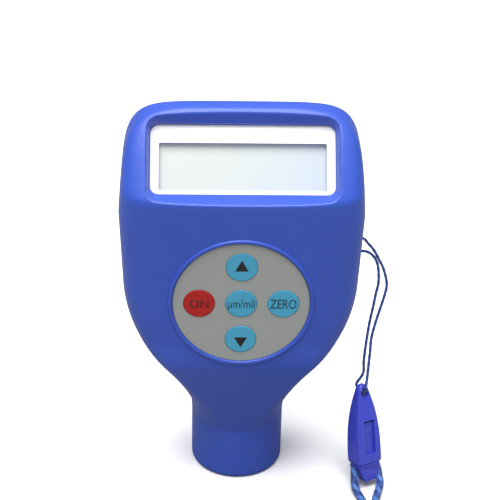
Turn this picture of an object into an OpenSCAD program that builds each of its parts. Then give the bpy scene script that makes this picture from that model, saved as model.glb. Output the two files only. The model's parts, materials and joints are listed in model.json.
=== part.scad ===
// Coating thickness gauge with a wrist strap, in millimetres.
// It stands on the end of its probe neck: the measuring rim lies in z = 0, the neck's axis is the
// z axis, and the display and keypad face -y. Both case halves meet in the parting plane y = 0.

/* [Case] */
// Overall height, from the measuring rim to the top of the head
case_h = 101.2; // [100:0.2:108]
// Width at the widest point, just below the display
case_w = 59; // [57:0.2:65]
// Depth of the keypad face in front of the parting plane
front_d = 17.4; // [16.8:0.1:19]
// Depth of the back behind the parting plane
back_d = 12.7; // [12.4:0.1:15]
// Wall thickness of both halves
wall = 2; // [1.6:0.1:2.4]
// Outside diameter of the probe neck
neck_d = 23.4; // [22.8:0.1:25]
// Wall thickness of the neck round the probe bore
neck_wall = 2.7; // [2.6:0.1:3.1]
// Rounding of the neck's end
neck_edge = 1.2; // [0.6:0.1:1.5]
// Height at which the neck begins to flare
flare_z = 14; // [12.5:0.5:15]
// Radius of the hollow curve from the neck into the shoulders
flare_r = 34; // [30:0.5:38]
// Steepest lean of the outline between neck and shoulders
flare_angle = 37.5; // [36:0.5:40]
// Radius of the round shoulders
shoulder_r = 36; // [32:0.5:38]
// Lean of the sides above the shoulders
side_angle = 2.5; // [1.5:0.25:3.5]
// Lean of the head's sides towards the top
head_angle = 4.2; // [3:0.1:6]
// Height at which the front face reaches its full depth
face_z = 39; // [37:0.5:41]
// Squareness of the front's cross-section, where 2 is an ellipse
front_square = 5.9; // [4.5:0.1:6.5]
// Squareness of the back's cross-section
back_square = 4.5; // [4:0.1:5.5]
// Squareness of the head's top corners
head_square = 5.2; // [5:0.1:6.5]
// Height of the round-off from the back to the top
back_round = 21; // [20:0.5:22]

/* [Display] */
// Height of the sloping display face, from its crease to the top
head_h = 17.3; // [17:0.1:19]
// Lean of the display face from the vertical
display_tilt = 40; // [38:0.5:41]
// Distance of the widest point below the crease
widest_drop = 6.8; // [5:0.1:9]
// Width of the pane
pane_w = 43.8; // [42.5:0.1:45]
// Height of the pane
pane_h = 17; // [16.4:0.1:17.4]
// Corner radius of the pane
pane_r = 2.2; // [1.6:0.1:3]
// Depth of the pane below the display face
pane_depth = 3; // [2.4:0.1:3.4]
// Distance of the pane's lower edge above the crease
pane_up = 3; // [2.8:0.1:3.4]
// Width of the sloping wall at each side of the pane
slope_side = 0.85; // [0.5:0.05:1.2]
// Width of the sloping wall above the pane
slope_top = 1.7; // [1.2:0.1:2]
// Width of the sloping wall below the pane
slope_low = 2.8; // [2.4:0.1:3]
// Width of the clear window in the border
window_w = 39.6; // [38:0.1:41]
// Height of the clear window in the border
window_h = 11.4; // [10.8:0.1:12]
// Height of the border below the window
window_low = 1.2; // [1:0.1:1.6]
// Thickness of the lens
lens_t = 1; // [0.8:0.1:1.2]
// Thickness of the border layer behind the lens
mask_t = 0.3; // [0.2:0.05:0.4]
// Thickness of the ledge that carries the lens
ledge_t = 1.2; // [1:0.1:1.4]
// Width of the panel that overlaps the ledge all round
lcd_overlap = 1.7; // [1.3:0.1:1.9]
// Thickness of the liquid crystal panel
lcd_t = 1.9; // [1.6:0.1:2.2]
// Thickness of the rubber contact strips
strip_t = 2; // [1.6:0.1:2.2]
// Thickness of the display board
display_board_t = 1; // [0.8:0.1:1.2]

/* [Keypad] */
// Distance of the keypad's centre below the crease
keypad_drop = 27; // [26.4:0.1:27.6]
// Diameter of the overlay disc
keypad_d = 32.8; // [32:0.1:33.6]
// Width of the raised bead round the overlay
bead_w = 1.1; // [0.8:0.1:1.4]
// Height of the bead above the face
bead_rise = 0.45; // [0.3:0.05:0.6]
// Diameter of a key
key_d = 7.5; // [7:0.1:8]
// Distance of the outer keys from the middle one
key_pitch = 10.1; // [9.9:0.1:10.6]
// Height of a key above the overlay
key_rise = 0.15; // [0.1:0.05:0.3]
// Travel of a key
key_travel = 0.3; // [0.2:0.05:0.35]
// Width of the retaining flange under the overlay
key_flange = 0.45; // [0.3:0.05:0.5]
// Thickness of the retaining flange
key_flange_t = 0.2; // [0.15:0.05:0.25]
// Thickness of the overlay
overlay_t = 0.4; // [0.3:0.05:0.5]
// Thickness of the spacer under the overlay
spacer_t = 0.9; // [0.85:0.05:1.1]
// Thickness of the switch circuit
circuit_t = 0.5; // [0.4:0.05:0.6]
// Diameter of a snap dome
dome_d = 5.2; // [4.6:0.1:6]

/* [Main board] */
// Width of the main board
board_w = 31; // [30.5:0.5:31.5]
// Height of the main board's lower edge
board_z = 36; // [35.5:0.5:37]
// Distance of the main board's upper edge below the crease
board_drop = 9.4; // [9:0.1:11]
// Thickness of the main board
board_t = 1.6; // [1.2:0.1:1.8]
// Distance of the board behind the keypad's floor
board_gap = 4.2; // [3.6:0.1:4.4]
// Distance of the board's screws from its edges
board_inset = 3; // [2.6:0.1:3.4]

/* [Battery] */
// Diameter of a cell
cell_d = 10.5; // [10.3:0.1:10.5]
// Length of a cell with its knob
cell_l = 44.5; // [43.5:0.1:44.5]
// Height of the battery bay's lower end
bay_z = 33; // [32.6:0.1:33.4]
// Space for a contact spring
spring_l = 4.2; // [3.6:0.1:4.4]
// Thickness of a contact plate
plate_t = 0.4; // [0.3:0.05:0.5]
// Thickness of the battery door at its middle
door_t = 1.7; // [1.4:0.1:1.8]

/* [Probe] */
// Diameter of the sliding sleeve
sleeve_d = 15; // [14:0.1:15.4]
// Wall thickness of the sleeve
sleeve_wall = 1.9; // [1.6:0.1:2.2]
// Distance of the sleeve's face above the measuring rim
probe_sink = 0.2; // [0.1:0.05:0.4]
// Travel of the probe
probe_travel = 3; // [2:0.1:3.4]
// Height of the guide bush's upper end
bush_top = 13; // [12.6:0.1:14]
// Wire diameter of the probe spring
spring_wire = 0.8; // [0.6:0.05:0.9]
// Turns of the probe spring
spring_turns = 5; // [4:0.5:6]
// Diameter of the magnetic core
core_d = 3.1; // [2.6:0.1:3.6]

/* [Screws] */
// Shank diameter of the case screws
screw_d = 2.4; // [2:0.1:2.6]
// Head diameter of the case screws
screw_head = 4.6; // [4.2:0.1:4.8]
// Wall of the screw tubes round the head
tube_wall = 0.8; // [0.7:0.05:1]
// Height of the lower case screws
screw_low_z = 44; // [43:0.5:45]
// Distance of the upper case screws below the crease
screw_drop = 8.9; // [8.4:0.1:9.6]
// Distance of the case screws from the sides
screw_inset = 5.9; // [5.8:0.1:6.3]

/* [Strap] */
// Diameter of the thin loop
loop_d = 0.8; // [0.6:0.05:0.9]
// Diameter of the braided wrist cord
braid_d = 2.1; // [1.8:0.1:2.1]
// Diameter of the two strap eyelets in the case
eyelet_d = 2.4; // [2:0.1:2.8]
// Length of the release clip
clip_l = 26; // [25:0.2:26.2]
// Width of the release clip
clip_w = 7.2; // [6.8:0.1:7.6]
// Thickness of the release clip
clip_t = 5.6; // [5.2:0.1:6]
// Height of the clip's lower block
clip_split = 5; // [4.6:0.1:5.4]

/* [Hidden] */
$fn = 48;

// Running and seating clearances
fit = 0.1;
slide_fit = 0.15;
skin = 0.4;
past = 1;

// Case levels and outline
neck_r = neck_d / 2;
bore_r = neck_r - neck_wall;
crease_z = case_h - head_h;
widest_z = crease_z - widest_drop;
crease_soft = 1.2;
front_wall = wall + 0.4;
half_case = case_w / 2;
flare_w = neck_r + flare_r * (1 - cos(flare_angle));
flare_end = flare_z + flare_r * sin(flare_angle);
shoulder_w = shoulder_r * (cos(side_angle) - cos(flare_angle));
shoulder_h = shoulder_r * (sin(flare_angle) - sin(side_angle));
lean_l = (half_case - flare_w - shoulder_w
          - (widest_z - flare_end - shoulder_h) * tan(side_angle))
         / (sin(flare_angle) - cos(flare_angle) * tan(side_angle));
lean_end = flare_end + lean_l * cos(flare_angle);
side_z = lean_end + shoulder_h;
side_w = flare_w + lean_l * sin(flare_angle) + shoulder_w;
back_full_z = face_z - 3;
back_round_z = case_h - back_round;
back_round_square = 2.1;
cavity_top = case_h - 2 * wall;
back_steps = 7;

// Keypad levels, measured forwards from the parting plane
keypad_z = crease_z - keypad_drop;
overlay_sink = 0.05;
overlay_out = front_d - overlay_sink;
spacer_out = overlay_out - overlay_t;
circuit_out = spacer_out - spacer_t;
floor_out = circuit_out - circuit_t;
keypad_floor = 1.4;
boss_out = floor_out - keypad_floor;
recess_r = keypad_d / 2 + fit;
bead_r = bead_w / 2 + fit;
flange_play = 0.02;
dome_h = spacer_t - flange_play - key_flange_t - key_travel - fit;
dome_fn = 240;
tail_w = 8;
tail_t = 0.3;
tail_up = -12;

// Main board levels
board_top = crease_z - board_drop;
board_out = boss_out - board_gap;
board_back = board_out - board_t;
board_screw_x = board_w / 2 - board_inset;
board_screw_z = [board_z + board_inset, board_top - board_inset];
board_screw_d = 1.7;
board_screw_head = 3.8;
board_screw_head_t = 1.2;
board_screw_l = 4.5;
standoff_r = 2.5;

// Display levels, measured along the normal of the display face
lens_n = -pane_depth;
mask_n = lens_n - lens_t;
ledge_n = mask_n - mask_t;
lcd_n = ledge_n - ledge_t;
strip_n = lcd_n - lcd_t;
display_board_n = strip_n - strip_t;
pane_v = pane_up + pane_h / 2;
window_v = pane_up + window_low + window_h / 2;
tub_rim = 1.6;
tub_top_n = -1.5;
lcd_w = window_w + 2 * lcd_overlap;
lcd_h = window_h + 2 * lcd_overlap;
holder_wall = 1.2;
holder_w = lcd_w + 2 * (fit + holder_wall);
holder_h = lcd_h + 2 * (fit + holder_wall);
strip_w = 1.8;

// Battery bay levels
cell_r = cell_d / 2;
cell_play = 0.35;
cell_pitch = cell_d + cell_play;
door_in = back_d - door_t;
cell_y = door_in - 0.4 - cell_r;
bay_floor = cell_y - cell_r - 0.2;
bay_wall = 1.2;
bay_l = cell_l + spring_l + 2 * plate_t;
bay_top = bay_z + bay_l;
bay_half = cell_pitch / 2 + cell_r + cell_play;
door_half = bay_half + bay_wall + 1;
door_z = bay_z - bay_wall - slide_fit;
door_top = back_round_z + 6;
door_reach = door_top - door_z + 4 * door_t + 12;
door_tab_w = 18;
door_tab_t = 0.8;
door_tab_l = 2;
knob_h = 0.9;
knob_r = 1.9;
contact_w = 8;
contact_wire = 0.6;

// Probe levels
sleeve_r = sleeve_d / 2;
flange_out = 1;
flange_t = 1.5;
bush_low = 0.8;
bush_flange_z = bush_top - 2.5;
stop_r = bore_r - 0.4;
stop_z = bush_top + 0.05;
spring_low = stop_z + flange_t;
sleeve_top = spring_low + 2.4;
spring_spare = 1.65;
seat_z = spring_low + probe_travel + (spring_turns + 1) * spring_wire + spring_spare;
seat_t = 1.5;
cavity_z = seat_z + seat_t + 0.4;
spring_mean = (sleeve_r + bore_r) / 2;
lead_d = 1.4;
lead_out = 2.2 - board_back;
lead_z = board_z + 2.5;
winding_r = sleeve_r - sleeve_wall - 0.8;
bobbin_z = probe_sink + 0.2;
bobbin_top = bush_top;
bobbin_flange = 1.2;

// Case screw levels
screw_tube_r = screw_head / 2 + tube_wall;
screw_seat = 3;
screw_head_t = 1.6;
screw_l = 9;
pilot_depth = 8;

// Clip stance: the foot of its axis, then its lean backwards, its roll and its turn
clip_foot = [33.2, -13.6, 1.4];
clip_lean = 15;
clip_roll = -4.3;
clip_turn = 34;
eye_d = 2.4;
eye_z = clip_l - 2.1;
eye_t = 2.2;
tongue_w = 3.4;
tongue_out = 1.9;
tongue_in = 1.1;
tongue_top = 16;
block_w = 3.8;
collar_z = clip_split - 1.2;
strand_x = block_w / 2 + braid_d / 2 + skin;
strand_top = clip_split - 0.9;

// Strap routes
eyelet_y = 3;
eyelet_z = [63.5, 59.8];
loop_sides = 8;
loop_route = [
    [27, 3, 63.5], [30.4, 3, 63.5], [32, 3.1, 61.8], [33.4, 2.8, 60.2], [35, 2, 57.5], [36.1, 1.4, 55.2],
    [36.9, 0.5, 52], [36.6, -0.3, 49.6], [35.6, -1.2, 46], [34.4, -2.4, 42], [33.5, -3.6, 38.2],
    [33.2, -5, 34.6], [32.9, -6.2, 31], [32.6, -7.4, 28]
];
back_route = [
    [31.8, -5.2, 28.6], [31.8, -4.7, 32], [32.1, -4, 35.8], [32.5, -3, 39], [33, -2, 42.4],
    [33.7, -1.1, 46], [34.3, -0.1, 49.4], [34.8, 0.5, 51.8], [34.8, 1.2, 54.4], [34.4, 1.9, 56.8],
    [33.4, 2.4, 58.6], [32, 2.8, 59.6], [30.4, 3, 59.8], [27, 3, 59.8]
];
coil_centre = [20, -43];
coil_r = 15.6;
coil_h = 2.3;

case_blue = "#2c48a4";
clip_blue = "#3f45b5";
board_green = "#1f6b3a";
steel = "#b9bcc0";

// Curves and sections

function clamp01(t) = min(1, max(0, t));
function ease(z, a, b) = let (t = clamp01((z - a) / (b - a))) t * t * (3 - 2 * t);
function soft_min(a, b, soft) = (a + b - sqrt((a - b) * (a - b) + soft * soft)) / 2;
function round_off(z, from, square) =
    pow(1 - pow(clamp01((z - from) / (case_h - from)), square), 1 / square);

// Inset of the rounded end of the neck at height z
function edge_inset(z) =
    z >= neck_edge ? 0 : neck_edge - sqrt(neck_edge * neck_edge - pow(neck_edge - z, 2));

// Half width of the case in the parting plane
function half_w(z) =
    z < flare_z ? neck_r - edge_inset(z) :
    z < flare_end ? neck_r + flare_r - sqrt(flare_r * flare_r - pow(z - flare_z, 2)) :
    z < lean_end ? flare_w + (z - flare_end) * tan(flare_angle) :
    z < side_z ? side_w - shoulder_r * cos(side_angle)
                 + sqrt(shoulder_r * shoulder_r - pow(side_z + shoulder_r * sin(side_angle) - z, 2)) :
    z < widest_z ? side_w + (z - side_z) * tan(side_angle) :
    (half_case - (z - widest_z) * tan(head_angle)) * round_off(z, widest_z, head_square);

function front_depth(z) =
    (soft_min(neck_r + (front_d - neck_r) * ease(z, flare_z, face_z),
              front_d - (z - crease_z) * tan(display_tilt), crease_soft) - edge_inset(z))
    * round_off(z, crease_z, head_square);
function back_depth(z) =
    (neck_r + (back_d - neck_r) * ease(z, flare_z, back_full_z) - edge_inset(z))
    * round_off(z, back_round_z, back_round_square);
function squareness(z, square) = 2 + (square - 2) * ease(z, flare_z, face_z);

// Depth of the front or back surface at a distance x from the middle
function depth_at(x, z, depth, square) =
    let (e = squareness(z, square)) depth * pow(1 - pow(clamp01(x / half_w(z)), e), 1 / e);
function front_at(x, z) = depth_at(x, z, front_depth(z), front_square);
function back_at(x, z) = depth_at(x, z, back_depth(z), back_square);

// Angles over half a section, closer together at its two corners
function section_angles(steps) =
    [for (q = [0, 1]) for (i = [(q == 0 ? -steps : 1 - steps):steps])
        90 * q + 45 + 45 * sign(i) * pow(abs(i) / steps, 1.6)];

// Half a section from one side of the parting plane to the other, clockwise seen from above
function half_section(w, d, e, side, z, steps) =
    [for (a = section_angles(steps))
        let (r = pow(pow(abs(cos(a)), e) + pow(abs(sin(a)), e), -1 / e))
        [-side * w * r * cos(a), side * d * r * sin(a), z]];

function span(from, to, steps) = [for (i = [1:steps]) from + (to - from) * i / steps];
function top_levels(shares) =
    [for (g = shares) widest_z + (case_h - widest_z) * pow(1 - pow(g, head_square), 1 / head_square)];
outer_levels = concat([0, 0.12, 0.4, 0.8], [neck_edge, 5.5], span(5.5, flare_z, 2),
                      span(flare_z, side_z, 17), span(side_z, crease_z - 3, 5),
                      span(crease_z - 3, crease_z + 3, 5), span(crease_z + 3, case_h - 7, 4),
                      top_levels([0.96, 0.925, 0.88, 0.82, 0.74, 0.64, 0.5, 0.36]));
inner_levels = concat([cavity_z], span(cavity_z, side_z, 8), span(side_z, crease_z - 2, 3),
                      span(crease_z - 2, crease_z + 2, 2), span(crease_z + 2, cavity_top, 6));

// Solid through rings of points that run clockwise seen from above, from the lowest ring up
module loft(rings) {
    n = len(rings[0]);
    last = len(rings) - 1;
    polyhedron(
        points = [for (ring = rings) each ring],
        faces = concat(
            [[for (i = [n - 1:-1:0]) i]],
            [for (k = [0:last - 1]) for (i = [0:n - 1])
                let (a = k * n + i, b = k * n + (i + 1) % n) each [[a, b, b + n], [a, b + n, a + n]]],
            [[for (i = [0:n - 1]) last * n + i]]));
}

// Outside of one case half, or of a stretch of its levels: side -1 is the front, 1 the back
module half_body(side, steps, levels = outer_levels) {
    square = side < 0 ? front_square : back_square;
    loft([for (z = levels)
        half_section(half_w(z), side < 0 ? front_depth(z) : back_depth(z),
                     squareness(z, square), side, z, steps)]);
}

// Inside of one case half, carried a little past the parting plane
module half_cavity(side, steps) {
    square = side < 0 ? front_square : back_square;
    thick = side < 0 ? front_wall : wall;
    least = 0.8;
    loft([for (z = inner_levels)
        let (up = z + wall * ease(z, widest_z, cavity_top),
             w = half_w(up) - wall,
             d = max(least, (side < 0 ? front_depth(up) : back_depth(up)) - thick),
             e = squareness(z, square))
        concat([[-side * w, -side * past, z]], half_section(w, d, e, side, z, steps),
               [[side * w, -side * past, z]])]);
}

// Rounded rectangle with true arcs
module rounded(w, h, r) {
    square([w - 2 * r, h], center = true);
    square([w, h - 2 * r], center = true);
    for (x = [-1, 1]) for (y = [-1, 1])
        translate([x * (w / 2 - r), y * (h / 2 - r)]) circle(r);
}

// Slab from level low to level high of a rounded rectangle
module slab(w, h, r, low, high) translate([0, 0, low]) linear_extrude(high - low) rounded(w, h, r);

// Cylinder between two levels
module disc(r, low, high) translate([0, 0, low]) cylinder(r = r, h = high - low);

// Box between two corners
module block(a, b) translate(a) cube(b - a);

// Frame of the keypad: x to the right, y up, z forwards from the parting plane
module keypad_frame() translate([0, 0, keypad_z]) rotate([90, 0, 0]) children();

// Frame of the parting plane seen from the front: x to the right, y up, z forwards
module front_frame(x, z) translate([x, 0, z]) rotate([90, 0, 0]) children();

// Frame of the display: x to the right, y up along the face, z along its outward normal
module display_frame() translate([0, -front_d, crease_z]) rotate([90 - display_tilt, 0, 0]) children();

// Frame of the clip: z along its axis from the foot, -y towards its front
module clip_frame()
    translate(clip_foot) rotate([-clip_lean, clip_roll, 0]) rotate([0, 0, clip_turn]) children();

// Places of the four case screws as [x, z]
screw_places = [for (z = [screw_low_z, crease_z - screw_drop]) for (s = [-1, 1])
    [s * (half_w(z) - screw_inset), z]];
board_places = [for (z = board_screw_z) for (s = [-1, 1]) [s * board_screw_x, z]];

// Places of the keys on the keypad as [x, y]
place_on = [-key_pitch, 0];
place_zero = [key_pitch, 0];
place_units = [0, 0];
place_up = [0, key_pitch];
place_down = [0, -key_pitch];
key_places = [place_on, place_zero, place_units, place_up, place_down];

// Neck bore with the grooves for the bush's flange and the spring seat
module neck_bore() {
    disc(bore_r, -past, cavity_z + past);
    disc(bore_r + flange_out, bush_flange_z, bush_flange_z + flange_t);
    disc(bore_r + flange_out, seat_z, seat_z + seat_t);
}

// Outline of the display recess at a level n along the normal, clockwise seen from outside
function recess_ring(n) =
    let (k = 1 + n / pane_depth,
         half = pane_w / 2 + fit + slope_side * k,
         low = pane_up - fit - slope_low * k,
         high = pane_up + pane_h + fit + slope_top * k,
         r = pane_r * (1 + k / 2))
    [for (c = [[-1, 1, 180], [1, 1, 90], [1, -1, 0], [-1, -1, -90]]) for (i = [0:6])
        let (a = c[2] - 15 * i)
        [c[0] * (half - r) + r * cos(a), (c[1] > 0 ? high - r : low + r) + r * sin(a), n]];

module front_case() {
    color(case_blue) difference() {
        union() {
            difference() {
                half_body(-1, 9);
                half_cavity(-1, 5);
            }
            // Tub behind the display
            display_frame() translate([0, pane_v, 0])
                slab(pane_w + 2 * tub_rim, pane_h + 2 * tub_rim, pane_r + tub_rim, lcd_n, tub_top_n);
            // Floor of the keypad and the bead round it
            keypad_frame() {
                disc(recess_r + bead_w + skin, boss_out, front_d - 2 * skin);
                rotate_extrude() translate([recess_r + bead_w - bead_r, front_d + bead_rise - bead_r]) {
                    circle(bead_r);
                    translate([-bead_r, -bead_w]) square([2 * bead_r, bead_w]);
                }
            }
            // Screw posts and board standoffs
            for (p = screw_places)
                front_frame(p[0], p[1])
                    disc(screw_tube_r, 0, front_at(abs(p[0]) + screw_tube_r, p[1]) - skin);
            for (p = board_places)
                front_frame(p[0], p[1])
                    disc(standoff_r, board_out, front_at(abs(p[0]) + standoff_r, p[1]) - skin);
        }
        // Display recess, lens seat and window
        display_frame() {
            loft([recess_ring(lens_n), recess_ring(pane_depth)]);
            translate([0, pane_v, 0]) slab(pane_w, pane_h, pane_r, ledge_n, lens_n + skin);
            translate([0, window_v, 0])
                slab(window_w + 2 * fit, window_h + 2 * fit, skin, lcd_n - past, ledge_n + skin);
        }
        // Keypad recess and the slot for its tail
        keypad_frame() {
            disc(recess_r, floor_out, front_d + bead_rise + past);
            translate([0, tail_up, boss_out - past])
                linear_extrude(floor_out - boss_out + 2 * past)
                    square([tail_w + 4 * fit, tail_t + 4 * fit], center = true);
        }
        // Pilot holes
        for (p = screw_places) front_frame(p[0], p[1]) disc(screw_d / 2 + fit / 2, -past, pilot_depth);
        for (p = board_places)
            front_frame(p[0], p[1])
                disc(board_screw_d / 2 + fit / 2, board_out - past, board_out + board_screw_l);
        neck_bore();
    }
}

module rear_case() {
    color(case_blue) difference() {
        union() {
            difference() {
                half_body(1, back_steps);
                half_cavity(1, 4);
            }
            // Battery bay
            block([-bay_half - bay_wall, bay_floor - bay_wall, bay_z - bay_wall],
                  [bay_half + bay_wall, door_in, bay_top + bay_wall]);
            // Screw tubes
            for (p = screw_places)
                front_frame(p[0], p[1])
                    disc(screw_tube_r, skin - back_at(abs(p[0]) + screw_tube_r, p[1]), 0);
        }
        block([-bay_half, bay_floor, bay_z], [bay_half, back_d + past, bay_top]);
        // Recess of the door, open at the top, and the slot for its tab
        block([-door_half, door_in, door_z], [door_half, back_d + past, case_h]);
        block([-door_tab_w / 2 - slide_fit, door_in, door_z - door_tab_l - slide_fit],
              [door_tab_w / 2 + slide_fit, door_in + door_tab_t + slide_fit, door_z + past]);
        for (p = screw_places)
            front_frame(p[0], p[1]) {
                disc(screw_d / 2 + fit, -back_d, past);
                disc(screw_head / 2 + fit, -back_d - past, -screw_seat);
            }
        for (z = eyelet_z)
            translate([half_w(z) - 2 * wall, eyelet_y, z]) rotate([0, 90, 0])
                cylinder(d = eyelet_d, h = 4 * wall);
        neck_bore();
    }
}

module battery_door() {
    grip_w = 14;
    grip_t = 0.9;
    grip_pitch = 2.2;
    levels = [for (z = outer_levels) if (abs(2 * z - door_z - door_top) < door_reach) z];
    color(case_blue) {
        intersection() {
            half_body(1, back_steps, levels);
            block([-door_half + slide_fit, door_in + fit / 2, door_z + slide_fit],
                  [door_half - slide_fit, back_d + past, door_top]);
        }
        block([-door_tab_w / 2, door_in + fit / 2, door_z - door_tab_l],
              [door_tab_w / 2, door_in + door_tab_t, door_z + past]);
        for (i = [0:4])
            translate([0, back_d - grip_t / 4, door_top - 12 + i * grip_pitch]) rotate([0, 90, 0])
                cylinder(d = grip_t, h = grip_w, center = true);
    }
}

module case_screws() {
    slot = 0.7;
    color(steel) for (p = screw_places)
        front_frame(p[0], p[1]) difference() {
            union() {
                disc(screw_head / 2, -screw_seat - screw_head_t, -screw_seat);
                disc(screw_d / 2, -screw_seat - fit, screw_l - screw_seat);
            }
            for (a = [0, 90])
                rotate(a) translate([0, 0, -screw_seat - screw_head_t])
                    cube([screw_head * 0.62, slot, screw_head_t], center = true);
        }
}

module display_lens()
    color("#eef2f2", 0.35) display_frame() translate([0, pane_v, 0])
        slab(pane_w - 2 * fit, pane_h - 2 * fit, pane_r - fit, mask_n, lens_n);

module display_border()
    color("#fcfcfa") display_frame() difference() {
        translate([0, pane_v, 0]) slab(pane_w - 2 * fit, pane_h - 2 * fit, pane_r - fit, ledge_n, mask_n);
        translate([0, window_v, 0]) slab(window_w, window_h, skin, ledge_n - past, mask_n + past);
    }

module lcd_panel()
    color("#dfe6e0") display_frame() translate([0, window_v, 0]) slab(lcd_w, lcd_h, skin, strip_n, lcd_n);

module lcd_holder()
    color("#f2f2ee") display_frame() translate([0, window_v, 0]) difference() {
        slab(holder_w, holder_h, skin, display_board_n, lcd_n);
        slab(lcd_w + 2 * fit, lcd_h + 2 * fit, skin, display_board_n - past, lcd_n + past);
    }

module contact_strips()
    color("#3a3a3c") display_frame() for (s = [-1, 1])
        translate([0, window_v + s * (lcd_h - strip_w) / 2, 0])
            slab(lcd_w - 2, strip_w, skin, display_board_n, strip_n);

module display_board()
    color(board_green) display_frame() translate([0, window_v, 0])
        slab(holder_w, holder_h, skin, display_board_n - display_board_t, display_board_n);

module keypad_overlay()
    color("#8e928e") keypad_frame() difference() {
        disc(keypad_d / 2, spacer_out, overlay_out);
        for (p = key_places) translate(p) disc(key_d / 2 + fit, spacer_out - past, overlay_out + past);
    }

module keypad_spacer()
    color("#c9c9c4") keypad_frame() difference() {
        disc(keypad_d / 2, circuit_out, spacer_out);
        for (p = key_places)
            translate(p) disc(key_d / 2 + key_flange + slide_fit, circuit_out - past, spacer_out + past);
    }

module snap_domes()
    color(steel) keypad_frame() for (p = key_places) {
        cap_r = (dome_d * dome_d / 4 + dome_h * dome_h) / (2 * dome_h);
        translate([p[0], p[1], circuit_out]) rotate_extrude() intersection() {
            square([dome_d / 2, dome_h]);
            translate([0, dome_h - cap_r]) circle(cap_r, $fn = dome_fn);
        }
    }

module keypad_circuit()
    color("#b08a3c") keypad_frame() disc(keypad_d / 2, floor_out, circuit_out);

module keypad_tail()
    color("#b08a3c") keypad_frame() translate([0, tail_up, board_out])
        linear_extrude(floor_out - board_out) square([tail_w, tail_t], center = true);

// One key: a cap with a rounded rim, on a flange that the overlay holds back
module key(place, tint) {
    rim = key_rise;
    flange_high = spacer_out - flange_play;
    top = overlay_out + key_rise;
    color(tint) keypad_frame() translate(place) {
        disc(key_d / 2 + key_flange, flange_high - key_flange_t, flange_high);
        rotate_extrude() {
            translate([0, flange_high - key_flange_t])
                square([key_d / 2, top - rim - flange_high + key_flange_t]);
            translate([0, flange_high]) square([key_d / 2 - rim, top - flange_high]);
            translate([key_d / 2 - rim, top - rim]) intersection() {
                circle(rim);
                square(rim);
            }
        }
    }
}

module key_on() key(place_on, "#b9201a");
module key_zero() key(place_zero, "#4a9bbe");
module key_units() key(place_units, "#4a9bbe");
module key_up() key(place_up, "#4a9bbe");
module key_down() key(place_down, "#4a9bbe");

module main_board()
    color(board_green) difference() {
        block([-board_w / 2, -board_out, board_z], [board_w / 2, -board_back, board_top]);
        for (p = board_places)
            front_frame(p[0], p[1]) disc(board_screw_d / 2 + fit, board_back - past, board_out + past);
    }

// Part of size [w, h, t] on the back of the main board
module on_board(x, z, size)
    translate([x - size[0] / 2, -board_back, z - size[1] / 2]) cube([size[0], size[2], size[1]]);

module processor() color("#26262a") on_board(-6, board_top - 14.5, [12, 12, 1.6]);
module amplifier() color("#26262a") on_board(7.6, board_z + 7, [5, 6, 1.5]);
module buzzer()
    color("#1c1c1e") front_frame(10, board_top - 12.5) difference() {
        disc(5, board_back - 3.4, board_back);
        disc(1, board_back - 3.4 - past, board_back - 2);
    }
module probe_connector()
    color("#e8e4d4") difference() {
        on_board(0, board_z + 4, [8, 5, 4]);
        translate([0, lead_out, lead_z - 3]) cylinder(d = lead_d + skin, h = 3);
    }

module board_screws()
    color(steel) for (p = board_places)
        front_frame(p[0], p[1]) {
            disc(board_screw_head / 2, board_back - board_screw_head_t, board_back);
            disc(board_screw_d / 2, board_back - fit, board_back + board_screw_l);
        }

// A cell with its flat end at z = 0 and its knob on top
module cell(tint)
    color(tint) rotate_extrude() {
        square([cell_r - 0.5, cell_l - knob_h]);
        translate([0, 0.5]) square([cell_r, cell_l - knob_h - 1]);
        square([knob_r, cell_l]);
        for (z = [0.5, cell_l - knob_h - 0.5]) translate([cell_r - 0.5, z]) intersection() {
            circle(0.5);
            translate([0, -0.5]) square([0.5, 1]);
        }
    }

module battery_left()
    translate([-cell_pitch / 2, cell_y, bay_z + plate_t + spring_l]) cell("#3a3d42");
module battery_right()
    translate([cell_pitch / 2, cell_y, bay_top - plate_t - spring_l]) mirror([0, 0, 1]) cell("#3a3d42");

// Ring of a swept wire: centre, two axes across it, radius and number of sides
function wire_ring(c, u, v, r, sides) =
    [for (i = [0:sides - 1]) let (a = -360 * i / sides) c + r * (cos(a) * u + sin(a) * v)];

// Helical spring on the z axis; the radius runs from r0 at the bottom to r1 at the top
module helix(r0, r1, low, high, turns, wire, steps) {
    rise = (high - low - wire) / (turns * steps);
    loft([for (i = [0:turns * steps])
        let (a = 360 * i / steps,
             r = r0 + (r1 - r0) * i / (turns * steps),
             c = [r * cos(a), r * sin(a), low + wire / 2 + rise * i])
        wire_ring(c, [cos(a), sin(a), 0], [0, 0, 1], wire / 2, 6)]);
}

module contact_springs() {
    color(steel) translate([-cell_pitch / 2, cell_y, bay_z + plate_t])
        helix(3.6, 1.6, 0, spring_l, 3, contact_wire, 12);
    color(steel) translate([cell_pitch / 2, cell_y, bay_top - plate_t])
        mirror([0, 0, 1]) helix(3.6, 1.6, 0, spring_l, 3, contact_wire, 12);
}

module contact_plates()
    color(steel) for (s = [-1, 1]) for (z = [bay_z, bay_top - plate_t])
        translate([s * cell_pitch / 2 - contact_w / 2, cell_y - contact_w / 2, z])
            cube([contact_w, contact_w, plate_t]);

module probe_bush()
    color("#2a2a2c") difference() {
        union() {
            disc(bore_r - fit / 2, bush_low, bush_top);
            disc(bore_r + flange_out - fit, bush_flange_z + fit / 2, bush_flange_z + flange_t - fit / 2);
        }
        disc(sleeve_r + slide_fit, bush_low - past, bush_top + past);
    }

module probe_sleeve()
    color(steel) difference() {
        union() {
            disc(sleeve_r, probe_sink, sleeve_top);
            disc(stop_r, stop_z, spring_low);
        }
        disc(sleeve_r - sleeve_wall, probe_sink - past, sleeve_top + past);
    }

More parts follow.
